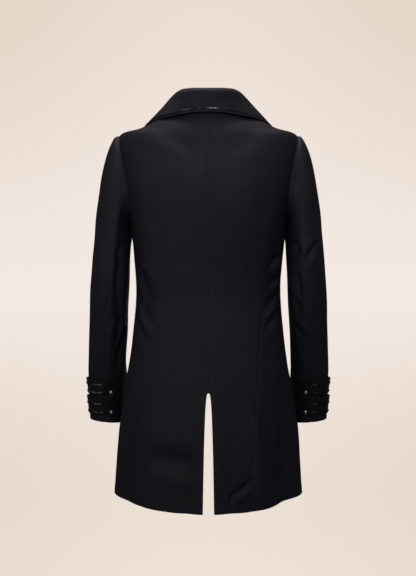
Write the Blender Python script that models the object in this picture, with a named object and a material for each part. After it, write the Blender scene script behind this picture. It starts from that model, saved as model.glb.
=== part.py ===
"""A man's redingote: a fitted frock coat with a wide fall collar, turned-back lapels, a side body on each
side, two-piece sleeves with braided and buttoned cuff straps, and a deep centre back vent. It keeps the
hollow form that it has when it is worn.

Lengths are metres. +X is the wearer's left, -Y the front and +Z up. The origin lies midway between the two
neck points, where the shoulders carry the coat.
"""

import math

import bmesh
import bpy
import numpy as np

CLOTH = 0.0022
STRAP_CLOTH = 0.0024
BRAID_THICK, BRAID_WIDTH = 0.0014, 0.0036
SEAM_GAP = 0.0003

# The coat's form is a stack of rings. A ring is named by its height at the centre back. The other columns
# give its height at the side and at the centre front, its half width, where it crosses the centre back, the
# centre front and its widest line along Y, and how square it is (2 is an ellipse).
RINGS = (
    # back_z, side_z, front_z, half_width, back_y, front_y, middle_y, squareness
    (-0.918, -0.898, -0.908, 0.2190, 0.152, -0.146, 0.022, 2.15),
    (-0.820, -0.812, -0.815, 0.2133, 0.147, -0.143, 0.021, 2.20),
    (-0.735, -0.735, -0.735, 0.2059, 0.142, -0.139, 0.019, 2.25),
    (-0.611, -0.611, -0.611, 0.1879, 0.130, -0.131, 0.012, 2.30),
    (-0.530, -0.530, -0.530, 0.1775, 0.117, -0.123, 0.006, 2.30),
    (-0.444, -0.444, -0.444, 0.1701, 0.106, -0.117, 0.000, 2.30),
    (-0.326, -0.326, -0.330, 0.1763, 0.119, -0.130, 0.000, 2.40),
    (-0.262, -0.262, -0.268, 0.1812, 0.129, -0.136, 0.000, 2.50),
    (-0.185, -0.159, -0.205, 0.2000, 0.132, -0.131, 0.000, 2.50),
    (-0.105, -0.0575, -0.137, 0.2095, 0.113, -0.114, 0.000, 2.05),
    (-0.055, -0.0415, -0.106, 0.1640, 0.098, -0.098, 0.000, 2.00),
    (-0.020, -0.0230, -0.089, 0.1170, 0.082, -0.086, 0.000, 2.00),
    (0.012, -0.0040, -0.075, 0.0740, 0.066, -0.075, 0.000, 2.00),
)
HEM, NECK = RINGS[0][0], RINGS[-1][0]

# Soft folds: where a fold's middle lies (an angle and a height), its half width and half length in metres,
# how far it stands out of the form or into it, and how far it leans from upright in degrees.
BODY_FOLDS = (
    # angle, height, half_width, half_length, depth, lean
    (62, -0.345, 0.012, 0.042, -0.0040, 42),
    (70, -0.410, 0.012, 0.040, -0.0035, 46),
    (64, -0.470, 0.013, 0.040, -0.0035, 40),
    (48, -0.900, 0.030, 0.180, 0.0060, -3),
    (70, -0.900, 0.024, 0.150, -0.0060, 3),
    (22, -0.930, 0.026, 0.120, -0.0040, -8),
    (115, -0.900, 0.028, 0.180, 0.0060, 0),
    (140, -0.900, 0.024, 0.150, -0.0050, 0),
)
SLEEVE_FOLDS = (
    # angle, height, half_width, half_length, depth, lean
    (118, -0.325, 0.012, 0.045, -0.0045, 30),
    (128, -0.405, 0.011, 0.040, -0.0045, -34),
    (112, -0.455, 0.011, 0.034, -0.0040, -42),
    (122, -0.565, 0.010, 0.055, -0.0040, -8),
    (60, -0.350, 0.012, 0.040, -0.0030, 38),
    (-120, -0.430, 0.013, 0.034, -0.0045, 62),
)

# How far the side back seam lies from the centre plane at each ring, from the hem up.
SIDE_BACK_SEAM = (
    # back_z, reach
    (-0.918, 0.0955),
    (-0.820, 0.0980),
    (-0.735, 0.1040),
    (-0.611, 0.1117),
    (-0.530, 0.1170),
    (-0.444, 0.1250),
    (-0.326, 0.1425),
    (-0.262, 0.1510),
    (-0.225, 0.1590),
    (-0.187, 0.1730),
)
SIDE_SEAM_ANGLE, SIDE_SEAM_STEPS = 98, 14
SIDE_BODY_TIP, SIDE_BODY_WAIST = 67, -0.285

# The armhole is an oval loop on the form, told by a turn from the shoulder tip (0) over the back (90) to
# the armpit (180) and up the front.
ARMHOLE_TOP, ARMHOLE_BOTTOM = -0.105, -0.262
ARMHOLE_BACK, ARMHOLE_FRONT, ARMHOLE_FULLER_BELOW = 18.5, 25.0, 0.25
SIDE_BACK_TURN, BACK_ARM_TURN, ARMPIT_TURN, SIDE_SEAM_TURN, FRONT_ARM_TURN = 62, 90, 180, 197, 245
ARMHOLE_STEPS = (4, 2, 6, 1, 3, 7)

VENT_TOP, VENT_HALF_GAP, VENT_ROUNDING = -0.651, 0.0134, 0.32

# The fronts meet down to the last button and are cut away below it. The lapels turn back above the break
# point.
BREAK_POINT, LAST_BUTTON = -0.275, -0.450
FRONT_LAP, FRONT_CUTAWAY, CUTAWAY_CURVE = 0.020, 0.100, 1.7
LEFT_LIFT, RIGHT_LIFT = 0.0052, -0.0014
LIFT_FROM, LIFT_FULL = 140, 168

# The lapel's roll line from the break point to the neck: each point is a ring and a reach from the centre
# plane.
ROLL_LINE = ((BREAK_POINT, -FRONT_LAP), (-0.160, 0.0250), (-0.070, 0.0540), (-0.025, 0.0620), (NECK, 0.0585))

# The lapel's free edge from the break point to its peak, and its top from the roll along the gorge to the
# peak: each point is a reach from the centre plane and a ring. The lapel curls at its roll: each line of
# the curl has a distance past the roll line and a distance out of the form.
LAPEL_EDGE = ((-0.006, -0.268), (0.040, -0.236), (0.093, -0.182), (0.128, -0.108))
LAPEL_TOP = ((0.0610, -0.006), (0.0800, -0.044), (0.0960, -0.082), (0.128, -0.108))
LAPEL_CURL = ((0.0021, 0.0000), (0.0020, 0.0017), (0.0006, 0.0033), (-0.0025, 0.0037))
LAPEL_LIFT, LAPEL_FULLNESS = 0.0037, 0.0020

# The sleeve's rings: the height, the middle of the arm along X and Y, and the half width and half depth.
SLEEVE_RINGS = (
    # height, axis_x, axis_y, half_width, half_depth
    (-0.290, 0.2265, 0.002, 0.0418, 0.0680),
    (-0.330, 0.2287, 0.003, 0.0430, 0.0660),
    (-0.397, 0.2325, 0.003, 0.0446, 0.0625),
    (-0.444, 0.2352, -0.003, 0.0448, 0.0600),
    (-0.492, 0.2380, -0.012, 0.0444, 0.0575),
    (-0.563, 0.2420, -0.028, 0.0442, 0.0535),
    (-0.611, 0.2445, -0.039, 0.0438, 0.0510),
    (-0.670, 0.2460, -0.051, 0.0420, 0.0485),
    (-0.740, 0.2450, -0.060, 0.0398, 0.0460),
)
SLEEVE_HEM_TILT, SLEEVE_TILT_FROM = 0.004, -0.718
SLEEVE_TOP, SLEEVE_HEM = SLEEVE_RINGS[0][0], SLEEVE_RINGS[-1][0]
SLEEVE_CAP_STEPS, SLEEVE_TUBE_STEPS, SMALL_TURN = 8, 12, 0.5

# The sleeve cap leaves the armhole outwards, more so towards the armpit, spreads to the front and back, and
# sinks towards the armpit. It meets the tube with a slight bulge, and its rows lie closer at the armhole.
CAP_OUT, CAP_OUT_MORE_BELOW, CAP_SPREAD, CAP_SINK, CAP_BULGE, CAP_SPACING = 0.40, 0.50, 0.25, 0.25, 0.08, 1.25
ARMPIT_SHARE = 0.8

# The two straps of a cuff: the heights of its edges and of the two rows of braid on it.
STRAPS = (
    # name, top, bottom, upper_braid, lower_braid
    ("upper", -0.632, -0.6690, -0.6440, -0.6635),
    ("lower", -0.675, -0.7175, -0.6915, -0.7120),
)
STRAP_INNER_TURN, STRAP_FRONT_TURN = 120, -112
BRAID_INNER_TURN, CUFF_BUTTON_TURN = 99, 109
STRAP_GAP, STRAP_FLARE = 0.0006, 0.0034
STRAP_ROWS, STRAP_TURNS = 4, 17

# The collar by angle round the neck: how far out and how high its roll line lies, and the ring of the form
# over which its free edge lies, and how far above it.
COLLAR = (
    # angle, roll_reach, roll_z, edge_ring, edge_lift
    (0, 0.0735, 0.0425, -0.0235, 0.0075),
    (30, 0.0730, 0.0445, -0.0290, 0.0075),
    (60, 0.0690, 0.0475, -0.0370, 0.0070),
    (75, 0.0675, 0.0475, -0.0405, 0.0060),
    (90, 0.0670, 0.0455, -0.0430, 0.0045),
    (105, 0.0710, 0.0310, -0.0580, 0.0045),
    (117, 0.0755, 0.0040, -0.0700, 0.0045),
    (125.5, 0.0775, -0.0160, -0.0650, 0.0045),
)
ROLL_OVER, ROLL_DROP, FALL_FULLNESS = 0.0105, 0.0045, 0.0010
COLLAR_KNOTS = (0, 0.16, 0.32, 0.42, 0.70, 1)
STAND_LEAN, STAND_RISE = 0.40, 0.55
COLLAR_ADVANCE, COLLAR_ADVANCE_FROM = 7.5, 88
STAND_SHARE, COLLAR_STEPS, STAND_STEPS, FALL_STEPS = 0.27, 30, 3, 7
COLLAR_START = 0.0020
COLLAR_BRAID_INSET, COLLAR_BRAID_END = 0.0085, 80

CUFF_BUTTON = {"radius": 0.0055, "height": 0.0042}
FRONT_BUTTON = {"radius": 0.0090, "height": 0.0060}
FRONT_BUTTON_HEIGHTS = (-0.300, -0.375, -0.450)
BUTTON_SIDES, BUTTON_SHANK = 14, 0.0008

SIDES = {"left": 1, "right": -1}


def smooth(at, knots, values):
    """A curve through the values at the knots, by cubics whose slopes come from the values on either side."""
    knots, values = np.asarray(knots, float), np.asarray(values, float)
    at = np.clip(np.asarray(at, float), knots[0], knots[-1])
    slopes = np.gradient(values, knots, axis=0)
    i = np.clip(np.searchsorted(knots, at, side="right") - 1, 0, len(knots) - 2)
    span = knots[i + 1] - knots[i]
    s = (at - knots[i]) / span
    shape = s.shape + (1,) * (values.ndim - 1)
    s, span = s.reshape(shape), span.reshape(shape)
    ends = (1 + 2 * s) * (1 - s) ** 2 * values[i] + s * s * (3 - 2 * s) * values[i + 1]
    return ends + span * (s * (1 - s) ** 2 * slopes[i] - s * s * (1 - s) * slopes[i + 1])


def ease(value):
    """Runs from 0 to 1 with a soft start and a soft end as the value does."""
    value = np.clip(value, 0, 1)
    return value * value * (3 - 2 * value)


def fold_relief(folds, angle, z, radius):
    """How far the folds move a wall out at this angle and height: each fold is one long soft bump or
    trough."""
    relief = 0
    for middle, height, half_width, half_length, depth, lean in folds:
        across = np.radians(angle - middle) * radius
        up = z - height
        tilt = math.radians(lean)
        along = up * math.cos(tilt) + across * math.sin(tilt)
        aside = across * math.cos(tilt) - up * math.sin(tilt)
        relief = relief + depth * np.exp(-((aside / half_width) ** 2) - (along / half_length) ** 2)
    return relief


def form(angle, height):
    """The body's form at an angle round it (0 at the centre back, 90 at the left side, 180 at the centre
    front), on the ring that crosses the centre back at this height."""
    angle, height = np.broadcast_arrays(np.asarray(angle, float), np.asarray(height, float))
    table = np.array(RINGS)
    columns = smooth(height, table[:, 0], table[:, 1:])
    side_z, front_z, half_width, back_y, front_y, middle_y, square = np.moveaxis(columns, -1, 0)
    across, along = np.sin(np.radians(angle)), np.cos(np.radians(angle))
    depth = np.where(along > 0, back_y - middle_y, middle_y - front_y)
    reach = (np.abs(across / half_width) ** square + np.abs(along / depth) ** square) ** (-1 / square)
    end_z = np.where(along > 0, height, front_z)
    z = end_z + (side_z - end_z) * across**2
    reach = reach + fold_relief(BODY_FOLDS, np.abs(angle), z, half_width)
    return np.stack([reach * across, middle_y + reach * along, z], -1)


def sleeve(turn, height):
    """The left sleeve's tube at a turn round the arm (0 outside, 90 at the back, 180 at the body) and a
    height."""
    turn, height = np.broadcast_arrays(np.asarray(turn, float), np.asarray(height, float))
    table = np.array(SLEEVE_RINGS)[::-1]
    axis_x, axis_y, half_width, half_depth = np.moveaxis(smooth(height, table[:, 0], table[:, 1:]), -1, 0)
    signed = (turn + 180) % 360 - 180
    relief = fold_relief(SLEEVE_FOLDS, signed, height, half_depth)
    across, along = np.cos(np.radians(turn)), np.sin(np.radians(turn))
    near_hem = ease((SLEEVE_TILT_FROM - height) / (SLEEVE_TILT_FROM - SLEEVE_HEM))
    z = height + SLEEVE_HEM_TILT * across * near_hem
    return np.stack([axis_x + (half_width + relief) * across, axis_y + (half_depth + relief) * along, z], -1)


def outward(surface, u, v, facing=1):
    """A surface's unit normal from two small steps on it. Facing is -1 where the first step runs
    backwards."""
    step_u, step_v = 0.2, 0.0005
    along_u = surface(u + step_u, v) - surface(u - step_u, v)
    along_v = surface(u, v + step_v) - surface(u, v - step_v)
    normal = np.cross(along_v, along_u) * facing
    return normal / np.linalg.norm(normal, axis=-1, keepdims=True)


def moved_out(surface, u, v, distance, facing=1):
    """A surface's points, each moved along the outward normal by its distance."""
    u, v, distance = np.broadcast_arrays(*(np.asarray(value, float) for value in (u, v, distance)))
    return surface(u, v) + outward(surface, u, v, facing) * distance[..., None]


def angle_at(x, height, low, high):
    """The angle between low and high at which the ring is this far from the centre plane, found by
    halving."""
    x, height = np.broadcast_arrays(np.asarray(x, float), np.asarray(height, float))
    low, high = np.full(x.shape, float(low)), np.full(x.shape, float(high))
    rising = form(high, height)[..., 0] > form(low, height)[..., 0]
    for _ in range(30):
        middle = (low + high) / 2
        short = (form(middle, height)[..., 0] < x) == rising
        low, high = np.where(short, middle, low), np.where(short, high, middle)
    return (low + high) / 2


def armhole(turn):
    """Angle and ring of the armhole's loop at a turn: an oval that is fuller in its lower half."""
    t = np.radians(np.asarray(turn, float))
    middle, reach = (ARMHOLE_TOP + ARMHOLE_BOTTOM) / 2, (ARMHOLE_TOP - ARMHOLE_BOTTOM) / 2
    wide = np.where(np.sin(t) > 0, ARMHOLE_BACK, ARMHOLE_FRONT)
    return 90 - wide * np.sin(t) * (1 - ARMHOLE_FULLER_BELOW * np.cos(t)), middle + reach * np.cos(t)


def armhole_turns(first, last):
    """The armhole's turns from first to last, which may run backwards. Every piece at the armhole shares
    them."""
    marks = (0, SIDE_BACK_TURN, BACK_ARM_TURN, ARMPIT_TURN, SIDE_SEAM_TURN, FRONT_ARM_TURN, 360)
    turns = [np.linspace(a, b, n + 1)[:-1] for a, b, n in zip(marks, marks[1:], ARMHOLE_STEPS)]
    turns = np.append(np.concatenate(turns), 360.0)
    low, high = min(first, last), max(first, last)
    found = turns[(turns > low - 1e-6) & (turns < high + 1e-6)]
    return found if first < last else found[::-1]


def side_back_seam():
    """Angle and ring of the side back seam, from the hem to the armhole. Below the armhole its points lie
    as those of the side seam do, and above that as those of the armhole's lower half."""
    end_angle, end_height = armhole(SIDE_BACK_TURN)
    table = np.array(SIDE_BACK_SEAM + ((float(end_height), form(end_angle, end_height)[0]),))
    loop = len(armhole_turns(SIDE_SEAM_TURN, SIDE_BACK_TURN))
    lower = np.linspace(HEM, SIDE_BODY_WAIST, SIDE_SEAM_STEPS + 1)
    heights = np.concatenate([lower, np.linspace(SIDE_BODY_WAIST, end_height, loop)[1:]])
    angles = angle_at(smooth(heights, table[:, 0], table[:, 1]), heights, 5, 88)
    angles[-1] = end_angle
    return angles, heights


def side_seam():
    """Angle and ring of the side seam, from the hem to the armhole."""
    end_angle, end_height = armhole(SIDE_SEAM_TURN)
    share = np.linspace(0, 1, SIDE_SEAM_STEPS + 1)
    return SIDE_SEAM_ANGLE + (end_angle - SIDE_SEAM_ANGLE) * share**3, HEM + (end_height - HEM) * share


def shoulder_seam(steps=6):
    """Angle and ring along the top of the shoulder, from its tip to the neck."""
    heights = np.linspace(ARMHOLE_TOP, NECK, steps + 1)
    return np.full(heights.shape, 90.0), heights


def joined(*curves):
    """Several curves of angle and ring end to end, each starting on the last one's end point."""
    angles = [curves[0][0]] + [curve[0][1:] for curve in curves[1:]]
    heights = [curves[0][1]] + [curve[1][1:] for curve in curves[1:]]
    return np.concatenate(angles), np.concatenate(heights)


def run_along(angles, heights):
    """How much of a curve's length has run at each of its points, from 0 to 1."""
    steps = np.linalg.norm(np.diff(form(angles, heights), axis=0), axis=1)
    return np.concatenate([[0], np.cumsum(steps)]) / np.sum(steps)


def spread_like(curve, edge, *marks):
    """Rings from the hem to the neck, spaced along the edge as the points of a curve are along that, with the
    nearest one on each mark. The edge gives an angle for each ring."""
    fine = np.linspace(HEM, NECK, 400)
    heights = np.interp(run_along(*curve), run_along(edge(fine), fine), fine)
    for mark in marks:
        heights[np.argmin(np.abs(heights - mark))] = mark
    return heights


def ruled(first, second, columns):
    """Angles and rings of a patch whose rows run straight from one edge curve to the other."""
    share = np.linspace(0, 1, columns + 1)
    return tuple(a[:, None] * (1 - share) + b[:, None] * share for a, b in zip(first, second))


def inset(grid, first_column=0, last_column=0, first_row=0, last_row=0):
    """Draws a grid's edges in by these distances, so that neighbours at a seam stay just apart."""
    grid = grid.copy()

    def draw_in(edge, inner, distance):
        step = inner - edge
        return edge + step / np.linalg.norm(step, axis=-1, keepdims=True) * distance

    grid[:, 0] = draw_in(grid[:, 0], grid[:, 1], first_column)
    grid[:, -1] = draw_in(grid[:, -1], grid[:, -2], last_column)
    grid[0] = draw_in(grid[0], grid[1], first_row)
    grid[-1] = draw_in(grid[-1], grid[-2], last_row)
    return grid


def material(name, colour, roughness, metallic=0.0):
    made = bpy.data.materials.new(name)
    made.use_nodes = True
    shader = made.node_tree.nodes["Principled BSDF"]
    shader.inputs["Base Color"].default_value = (*colour, 1)
    shader.inputs["Roughness"].default_value = roughness
    shader.inputs["Metallic"].default_value = metallic
    return made


def add_object(name, vertices, faces, finish):
    mesh = bpy.data.meshes.new(name)
    mesh.from_pydata([tuple(map(float, v)) for v in vertices], [], faces)
    work = bmesh.new()
    work.from_mesh(mesh)
    bmesh.ops.recalc_face_normals(work, faces=work.faces)
    if work.calc_volume(signed=True) < 0:
        bmesh.ops.reverse_faces(work, faces=work.faces)
    bmesh.ops.triangulate(work, faces=work.faces)
    work.to_mesh(mesh)
    work.free()
    mesh.shade_smooth()
    mesh.set_sharp_from_angle(angle=math.radians(50))
    mesh.materials.append(finish)
    made = bpy.data.objects.new(name, mesh)
    bpy.context.scene.collection.objects.link(made)


def grid_normals(grid):
    """Unit normals of a grid of points, from the steps along its rows and its columns."""
    normal = np.cross(np.gradient(grid, axis=1), np.gradient(grid, axis=0))
    return normal / np.linalg.norm(normal, axis=-1, keepdims=True)


def add_wall(name, grid, thickness, finish, side=1, normal=None):
    """A closed wall of even thickness about a grid of points. Side -1 is the mirrored one on the wearer's
    right."""
    rows, columns = grid.shape[:2]
    normal = grid_normals(grid) if normal is None else normal
    layers = [grid + normal * thickness / 2, grid - normal * thickness / 2]
    vertices = np.concatenate([layer.reshape(-1, 3) for layer in layers]) * (side, 1, 1)
    offset = rows * columns
    faces = []
    for i in range(rows - 1):
        for j in range(columns - 1):
            a, d = i * columns + j, (i + 1) * columns + j
            faces.append((a, a + 1, d + 1, d))
            faces.append((offset + d, offset + d + 1, offset + a + 1, offset + a))
    rim = list(range(columns))
    rim += [i * columns + columns - 1 for i in range(1, rows)]
    rim += [(rows - 1) * columns + j for j in range(columns - 2, -1, -1)]
    rim += [i * columns for i in range(rows - 2, 0, -1)]
    faces += [(b, a, offset + a, offset + b) for a, b in zip(rim, rim[1:] + rim[:1])]
    add_object(name, vertices, faces, finish)


def vent_gap(heights):
    """Half the vent's opening at each ring: it parts quickly below its top, then slowly down to the hem."""
    drop = np.clip((VENT_TOP - heights) / (VENT_TOP - HEM), 0, 1)
    return np.maximum(VENT_HALF_GAP * drop**VENT_ROUNDING, SEAM_GAP / 2)


def add_backs(finish, columns=8):
    outer = joined(side_back_seam(), armhole(armhole_turns(SIDE_BACK_TURN, 0)), shoulder_seam())
    heights = spread_like(outer, np.zeros_like, VENT_TOP)
    centre = angle_at(vent_gap(heights), heights, 0, 40), heights
    angles, rings = ruled(centre, outer, columns)
    grid = inset(form(angles, rings), last_column=SEAM_GAP / 2)
    for name, side in SIDES.items():
        add_wall(f"back_{name}", grid, CLOTH, finish, side, outward(form, angles, rings))


def add_side_bodies(finish, columns=7):
    """The side body lies between the side back seam and the side seam, and narrows to a tip where the
    armhole cuts in from the side seam to the side back seam."""
    loop = armhole_turns(SIDE_SEAM_TURN, SIDE_BACK_TURN)
    loop[-1] = SIDE_BODY_TIP
    angles, rings = ruled(side_back_seam(), joined(side_seam(), armhole(loop)), columns)
    grid = inset(form(angles, rings), SEAM_GAP / 2, SEAM_GAP / 2)
    for name, side in SIDES.items():
        add_wall(f"side_body_{name}", grid, CLOTH, finish, side, outward(form, angles, rings))


def front_edge(heights):
    """Angle of the front's free edge: the lap, the cutaway below it, and the lapel's roll line above it."""
    drop = np.clip((LAST_BUTTON - heights) / (LAST_BUTTON - HEM), 0, 1)
    roll = np.array(ROLL_LINE)
    x = smooth(heights, roll[:, 0], roll[:, 1]) + (FRONT_CUTAWAY + FRONT_LAP) * drop**CUTAWAY_CURVE
    return angle_at(x, heights, 100, 200)


def front_lift(angles, lift):
    """How far a front stands out of the form towards its free edge, so that the left one laps over the
    right."""
    return lift * ease((angles - LIFT_FROM) / (LIFT_FULL - LIFT_FROM))


def front_rows():
    """The curve that a front is sewn along, up its side, armhole and shoulder, and its rows' rings at its
    free edge."""
    outer = joined(side_seam(), armhole(armhole_turns(SIDE_SEAM_TURN, 360)), shoulder_seam())
    return outer, spread_like(outer, front_edge, LAST_BUTTON, BREAK_POINT)


def add_fronts(finish, columns=12):
    outer, heights = front_rows()
    angles, rings = ruled(outer, (front_edge(heights), heights), columns)
    for (name, side), lift in zip(SIDES.items(), (LEFT_LIFT, RIGHT_LIFT)):
        grid = inset(moved_out(form, angles, rings, front_lift(angles, lift)), first_column=SEAM_GAP / 2)
        add_wall(f"front_{name}", grid, CLOTH, finish, side, outward(form, angles, rings))


def add_lapels(finish, columns=7):
    """A lapel's rows run on from the front's, from the curl of its roll to its free edge. Towards the top
    they bend to the gorge, where the lapel passes below the collar's end and on to its peak."""
    heights = front_rows()[1]
    heights = heights[(heights >= BREAK_POINT) & (heights < LAPEL_TOP[0][1] - LAPEL_CURL[-1][1])]
    heights = np.append(heights, LAPEL_TOP[0][1])
    up = (heights - BREAK_POINT) / (heights[-1] - BREAK_POINT)
    across = np.linspace(0, 1, columns + 1)
    edge = smooth(up, np.linspace(0, 1, len(LAPEL_EDGE)), np.array(LAPEL_EDGE))
    edge[:, 0] = angle_at(edge[:, 0], edge[:, 1], 95, 200)
    top = smooth(across, np.linspace(0, 1, len(LAPEL_TOP)), np.array(LAPEL_TOP))
    top[:, 0] = angle_at(top[:, 0], top[:, 1], 95, 200)
    roll = front_edge(heights)
    reach = np.linalg.norm(form(roll, heights)[:, :2], axis=1)
    angles = [roll + np.degrees(past / reach) for past, _ in LAPEL_CURL]
    rings = [heights for _ in LAPEL_CURL]
    lifts = [np.full(heights.shape, lift) for _, lift in LAPEL_CURL]
    for s, (top_angle, top_ring) in zip(across[1:], top[1:]):
        straight_angle = angles[len(LAPEL_CURL) - 1] * (1 - s) + edge[:, 0] * s
        straight_ring = heights * (1 - s) + edge[:, 1] * s
        angles.append(straight_angle + up**3 * (top_angle - straight_angle[-1]))
        rings.append(straight_ring + up**3 * (top_ring - straight_ring[-1]))
        lifts.append(LAPEL_LIFT + LAPEL_FULLNESS * math.sin(math.pi * s) ** 2 * ease(3 * up - 1))
    angles, rings, lifts = (np.stack(values, 1) for values in (angles, rings, lifts))
    for (name, side), lift in zip(SIDES.items(), (LEFT_LIFT, RIGHT_LIFT)):
        grid = moved_out(form, angles, rings, lifts + front_lift(angles, lift))
        add_wall(f"lapel_{name}", grid, CLOTH, finish, side)


def armhole_start(turns):
    """Where the sleeve starts and its direction there. The sharper it bends from the body, the later it
    starts, so that its wall stays clear of the body's."""
    angle, height = armhole(turns)
    edge = form(angle, height)
    low = (1 - np.cos(np.radians(turns))) / 2
    drop = np.linalg.norm(sleeve(turns, SLEEVE_TOP) - edge, axis=-1)
    across = CAP_OUT + CAP_OUT_MORE_BELOW * low
    direction = np.stack([across, CAP_SPREAD * np.sin(np.radians(turns)), -CAP_SINK * low], -1)
    unit = direction / np.linalg.norm(direction, axis=-1, keepdims=True)
    bend = np.clip(np.sum(unit * outward(form, angle, height), -1), 0, 1)
    bend = np.where(low > ARMPIT_SHARE, 1, bend)
    start = edge + unit * (SEAM_GAP / 2 + (CLOTH / 2 + 3 * SEAM_GAP) * bend)[:, None]
    return start, direction * drop[:, None], drop


def sleeve_rows(turns):
    """The sleeve from the armhole to its hem: the cap is a cubic from the armhole to the tube, at each
    turn."""
    start, leaving, drop = armhole_start(turns)
    end = sleeve(turns, SLEEVE_TOP)
    arriving = np.stack([CAP_BULGE * drop * np.cos(np.radians(turns)), np.zeros_like(drop), -drop], -1)
    rows = []
    for s in (np.linspace(0, 1, SLEEVE_CAP_STEPS + 1) ** CAP_SPACING)[:-1]:
        ends = (1 + 2 * s) * (1 - s) ** 2 * start + s * s * (3 - 2 * s) * end
        rows.append(ends + s * (1 - s) ** 2 * leaving - s * s * (1 - s) * arriving)
    for height in np.linspace(SLEEVE_TOP, SLEEVE_HEM, SLEEVE_TUBE_STEPS + 1):
        rows.append(sleeve(turns, height))
    return np.stack(rows)


def add_sleeves(finish):
    outer = np.concatenate([armhole_turns(FRONT_ARM_TURN, 360)[:-1] - 360, armhole_turns(0, BACK_ARM_TURN)])
    inner = armhole_turns(BACK_ARM_TURN, FRONT_ARM_TURN)
    gap = SEAM_GAP / 2
    for piece, turns in (("top_sleeve", outer), ("under_sleeve", inner)):
        around = sleeve_rows(turns + SMALL_TURN) - sleeve_rows(turns - SMALL_TURN)
        normal = np.cross(around, np.gradient(sleeve_rows(turns), axis=0))
        normal = normal / np.linalg.norm(normal, axis=-1, keepdims=True)
        grid = inset(sleeve_rows(turns), gap, gap)
        for name, side in SIDES.items():
            add_wall(f"{piece}_{name}", grid, CLOTH, finish, side, normal)


def strap_offset(height, top, bottom):
    """How far a strap's middle stands off the sleeve's: it sits flat at its foot and flares to its top
    edge."""
    return CLOTH / 2 + STRAP_GAP + STRAP_CLOTH / 2 + STRAP_FLARE * ((height - bottom) / (top - bottom)) ** 2


def add_cuffs(strap_finish, braid_finish, metal):
    for strap, top, bottom, *braids in STRAPS:
        turns = np.linspace(STRAP_FRONT_TURN, STRAP_INNER_TURN, STRAP_TURNS)
        heights = np.linspace(bottom, top, STRAP_ROWS)[:, None]
        grid = moved_out(sleeve, turns[None], heights, strap_offset(heights, top, bottom), -1)
        for name, side in SIDES.items():
            add_wall(f"cuff_strap_{strap}_{name}", grid, STRAP_CLOTH, strap_finish, side)
        on_strap = STRAP_CLOTH / 2 + SEAM_GAP
        for row, middle in zip(("upper", "lower"), braids):
            band = middle + BRAID_WIDTH * np.array([[-0.5], [0.5]])
            laid = turns[turns < BRAID_INNER_TURN]
            lift = strap_offset(band, top, bottom) + on_strap + BRAID_THICK / 2
            grid = moved_out(sleeve, laid[None], band, lift, -1)
            for name, side in SIDES.items():
                add_wall(f"cuff_braid_{strap}_{row}_{name}", grid, BRAID_THICK, braid_finish, side)
        seat = strap_offset(braids[1], top, bottom) + on_strap
        base = moved_out(sleeve, CUFF_BUTTON_TURN, braids[1], seat, -1)
        facing = outward(sleeve, CUFF_BUTTON_TURN, braids[1], -1)
        for name, side in SIDES.items():
            mirror = np.array([side, 1, 1])
            add_button(f"cuff_button_{strap}_{name}", base * mirror, facing * mirror, CUFF_BUTTON, metal)


def add_button(name, base, facing, size, finish):
    """A domed button: a short upright rim, then a dome that rises as a quarter of an ellipse."""
    radius, height = size["radius"], size["height"]
    turned_in = np.radians([0, 22, 45, 68])
    profile = [(radius * 0.92, 0.0)]
    profile += [(radius * math.cos(t), height * (0.25 + 0.75 * math.sin(t))) for t in turned_in]
    side_way = np.cross(facing, (0, 0, 1))
    side_way = side_way / np.linalg.norm(side_way)
    up_way = np.cross(side_way, facing)
    around = np.linspace(0, 2 * math.pi, BUTTON_SIDES, endpoint=False)
    vertices = [base]
    for reach, rise in profile:
        ring = [side_way * math.cos(t) + up_way * math.sin(t) for t in around]
        vertices += [base + facing * rise + reach * way for way in ring]
    vertices.append(base + facing * height)
    faces = []
    last = len(vertices) - 1
    for k in range(BUTTON_SIDES):
        after = (k + 1) % BUTTON_SIDES
        faces.append((0, 1 + after, 1 + k))
        for ring in range(len(profile) - 1):
            low, high = 1 + ring * BUTTON_SIDES, 1 + (ring + 1) * BUTTON_SIDES
            faces.append((low + k, low + after, high + after, high + k))
        top = 1 + (len(profile) - 1) * BUTTON_SIDES
        faces.append((top + k, top + after, last))
    add_object(name, vertices, faces, finish)


def collar_sections(angles):
    """The collar's curve at each angle round the neck: up the stand, over the roll and down the fall to its
    edge."""
    left = np.array(COLLAR)
    right = left[:0:-1] * (-1, 1, 1, 1, 1)
    table = np.concatenate([right, left])
    roll_reach, roll_z, edge_ring, lift = smooth(angles, table[:, 0], table[:, 1:]).T
    out = np.stack([np.sin(np.radians(angles)), np.cos(np.radians(angles)), np.zeros_like(angles)], -1)
    up = np.array([0, 0, 1.0])
    neck = form(angles, NECK)
    past = (np.abs(angles) - COLLAR_ADVANCE_FROM) / (left[-1, 0] - COLLAR_ADVANCE_FROM)
    advance = COLLAR_ADVANCE * ease(past)
    edge = moved_out(form, angles + np.sign(angles) * advance, edge_ring, lift)
    roll = out * roll_reach[:, None] + up * roll_z[:, None]
    stand = neck + (roll - neck) * np.array([STAND_LEAN, STAND_LEAN, STAND_RISE])
    over = roll + out * ROLL_OVER - up * ROLL_DROP
    fall = (over + edge) / 2 + out * FALL_FULLNESS
    return np.stack([neck, stand, roll, over, fall, edge], 1)


def collar_points(angles, shares):
    """The points of the collar's curves at shares of their knots' run, angles down the rows and shares
    across."""
    return np.stack([smooth(shares, COLLAR_KNOTS, section) for section in collar_sections(angles)])


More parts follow.
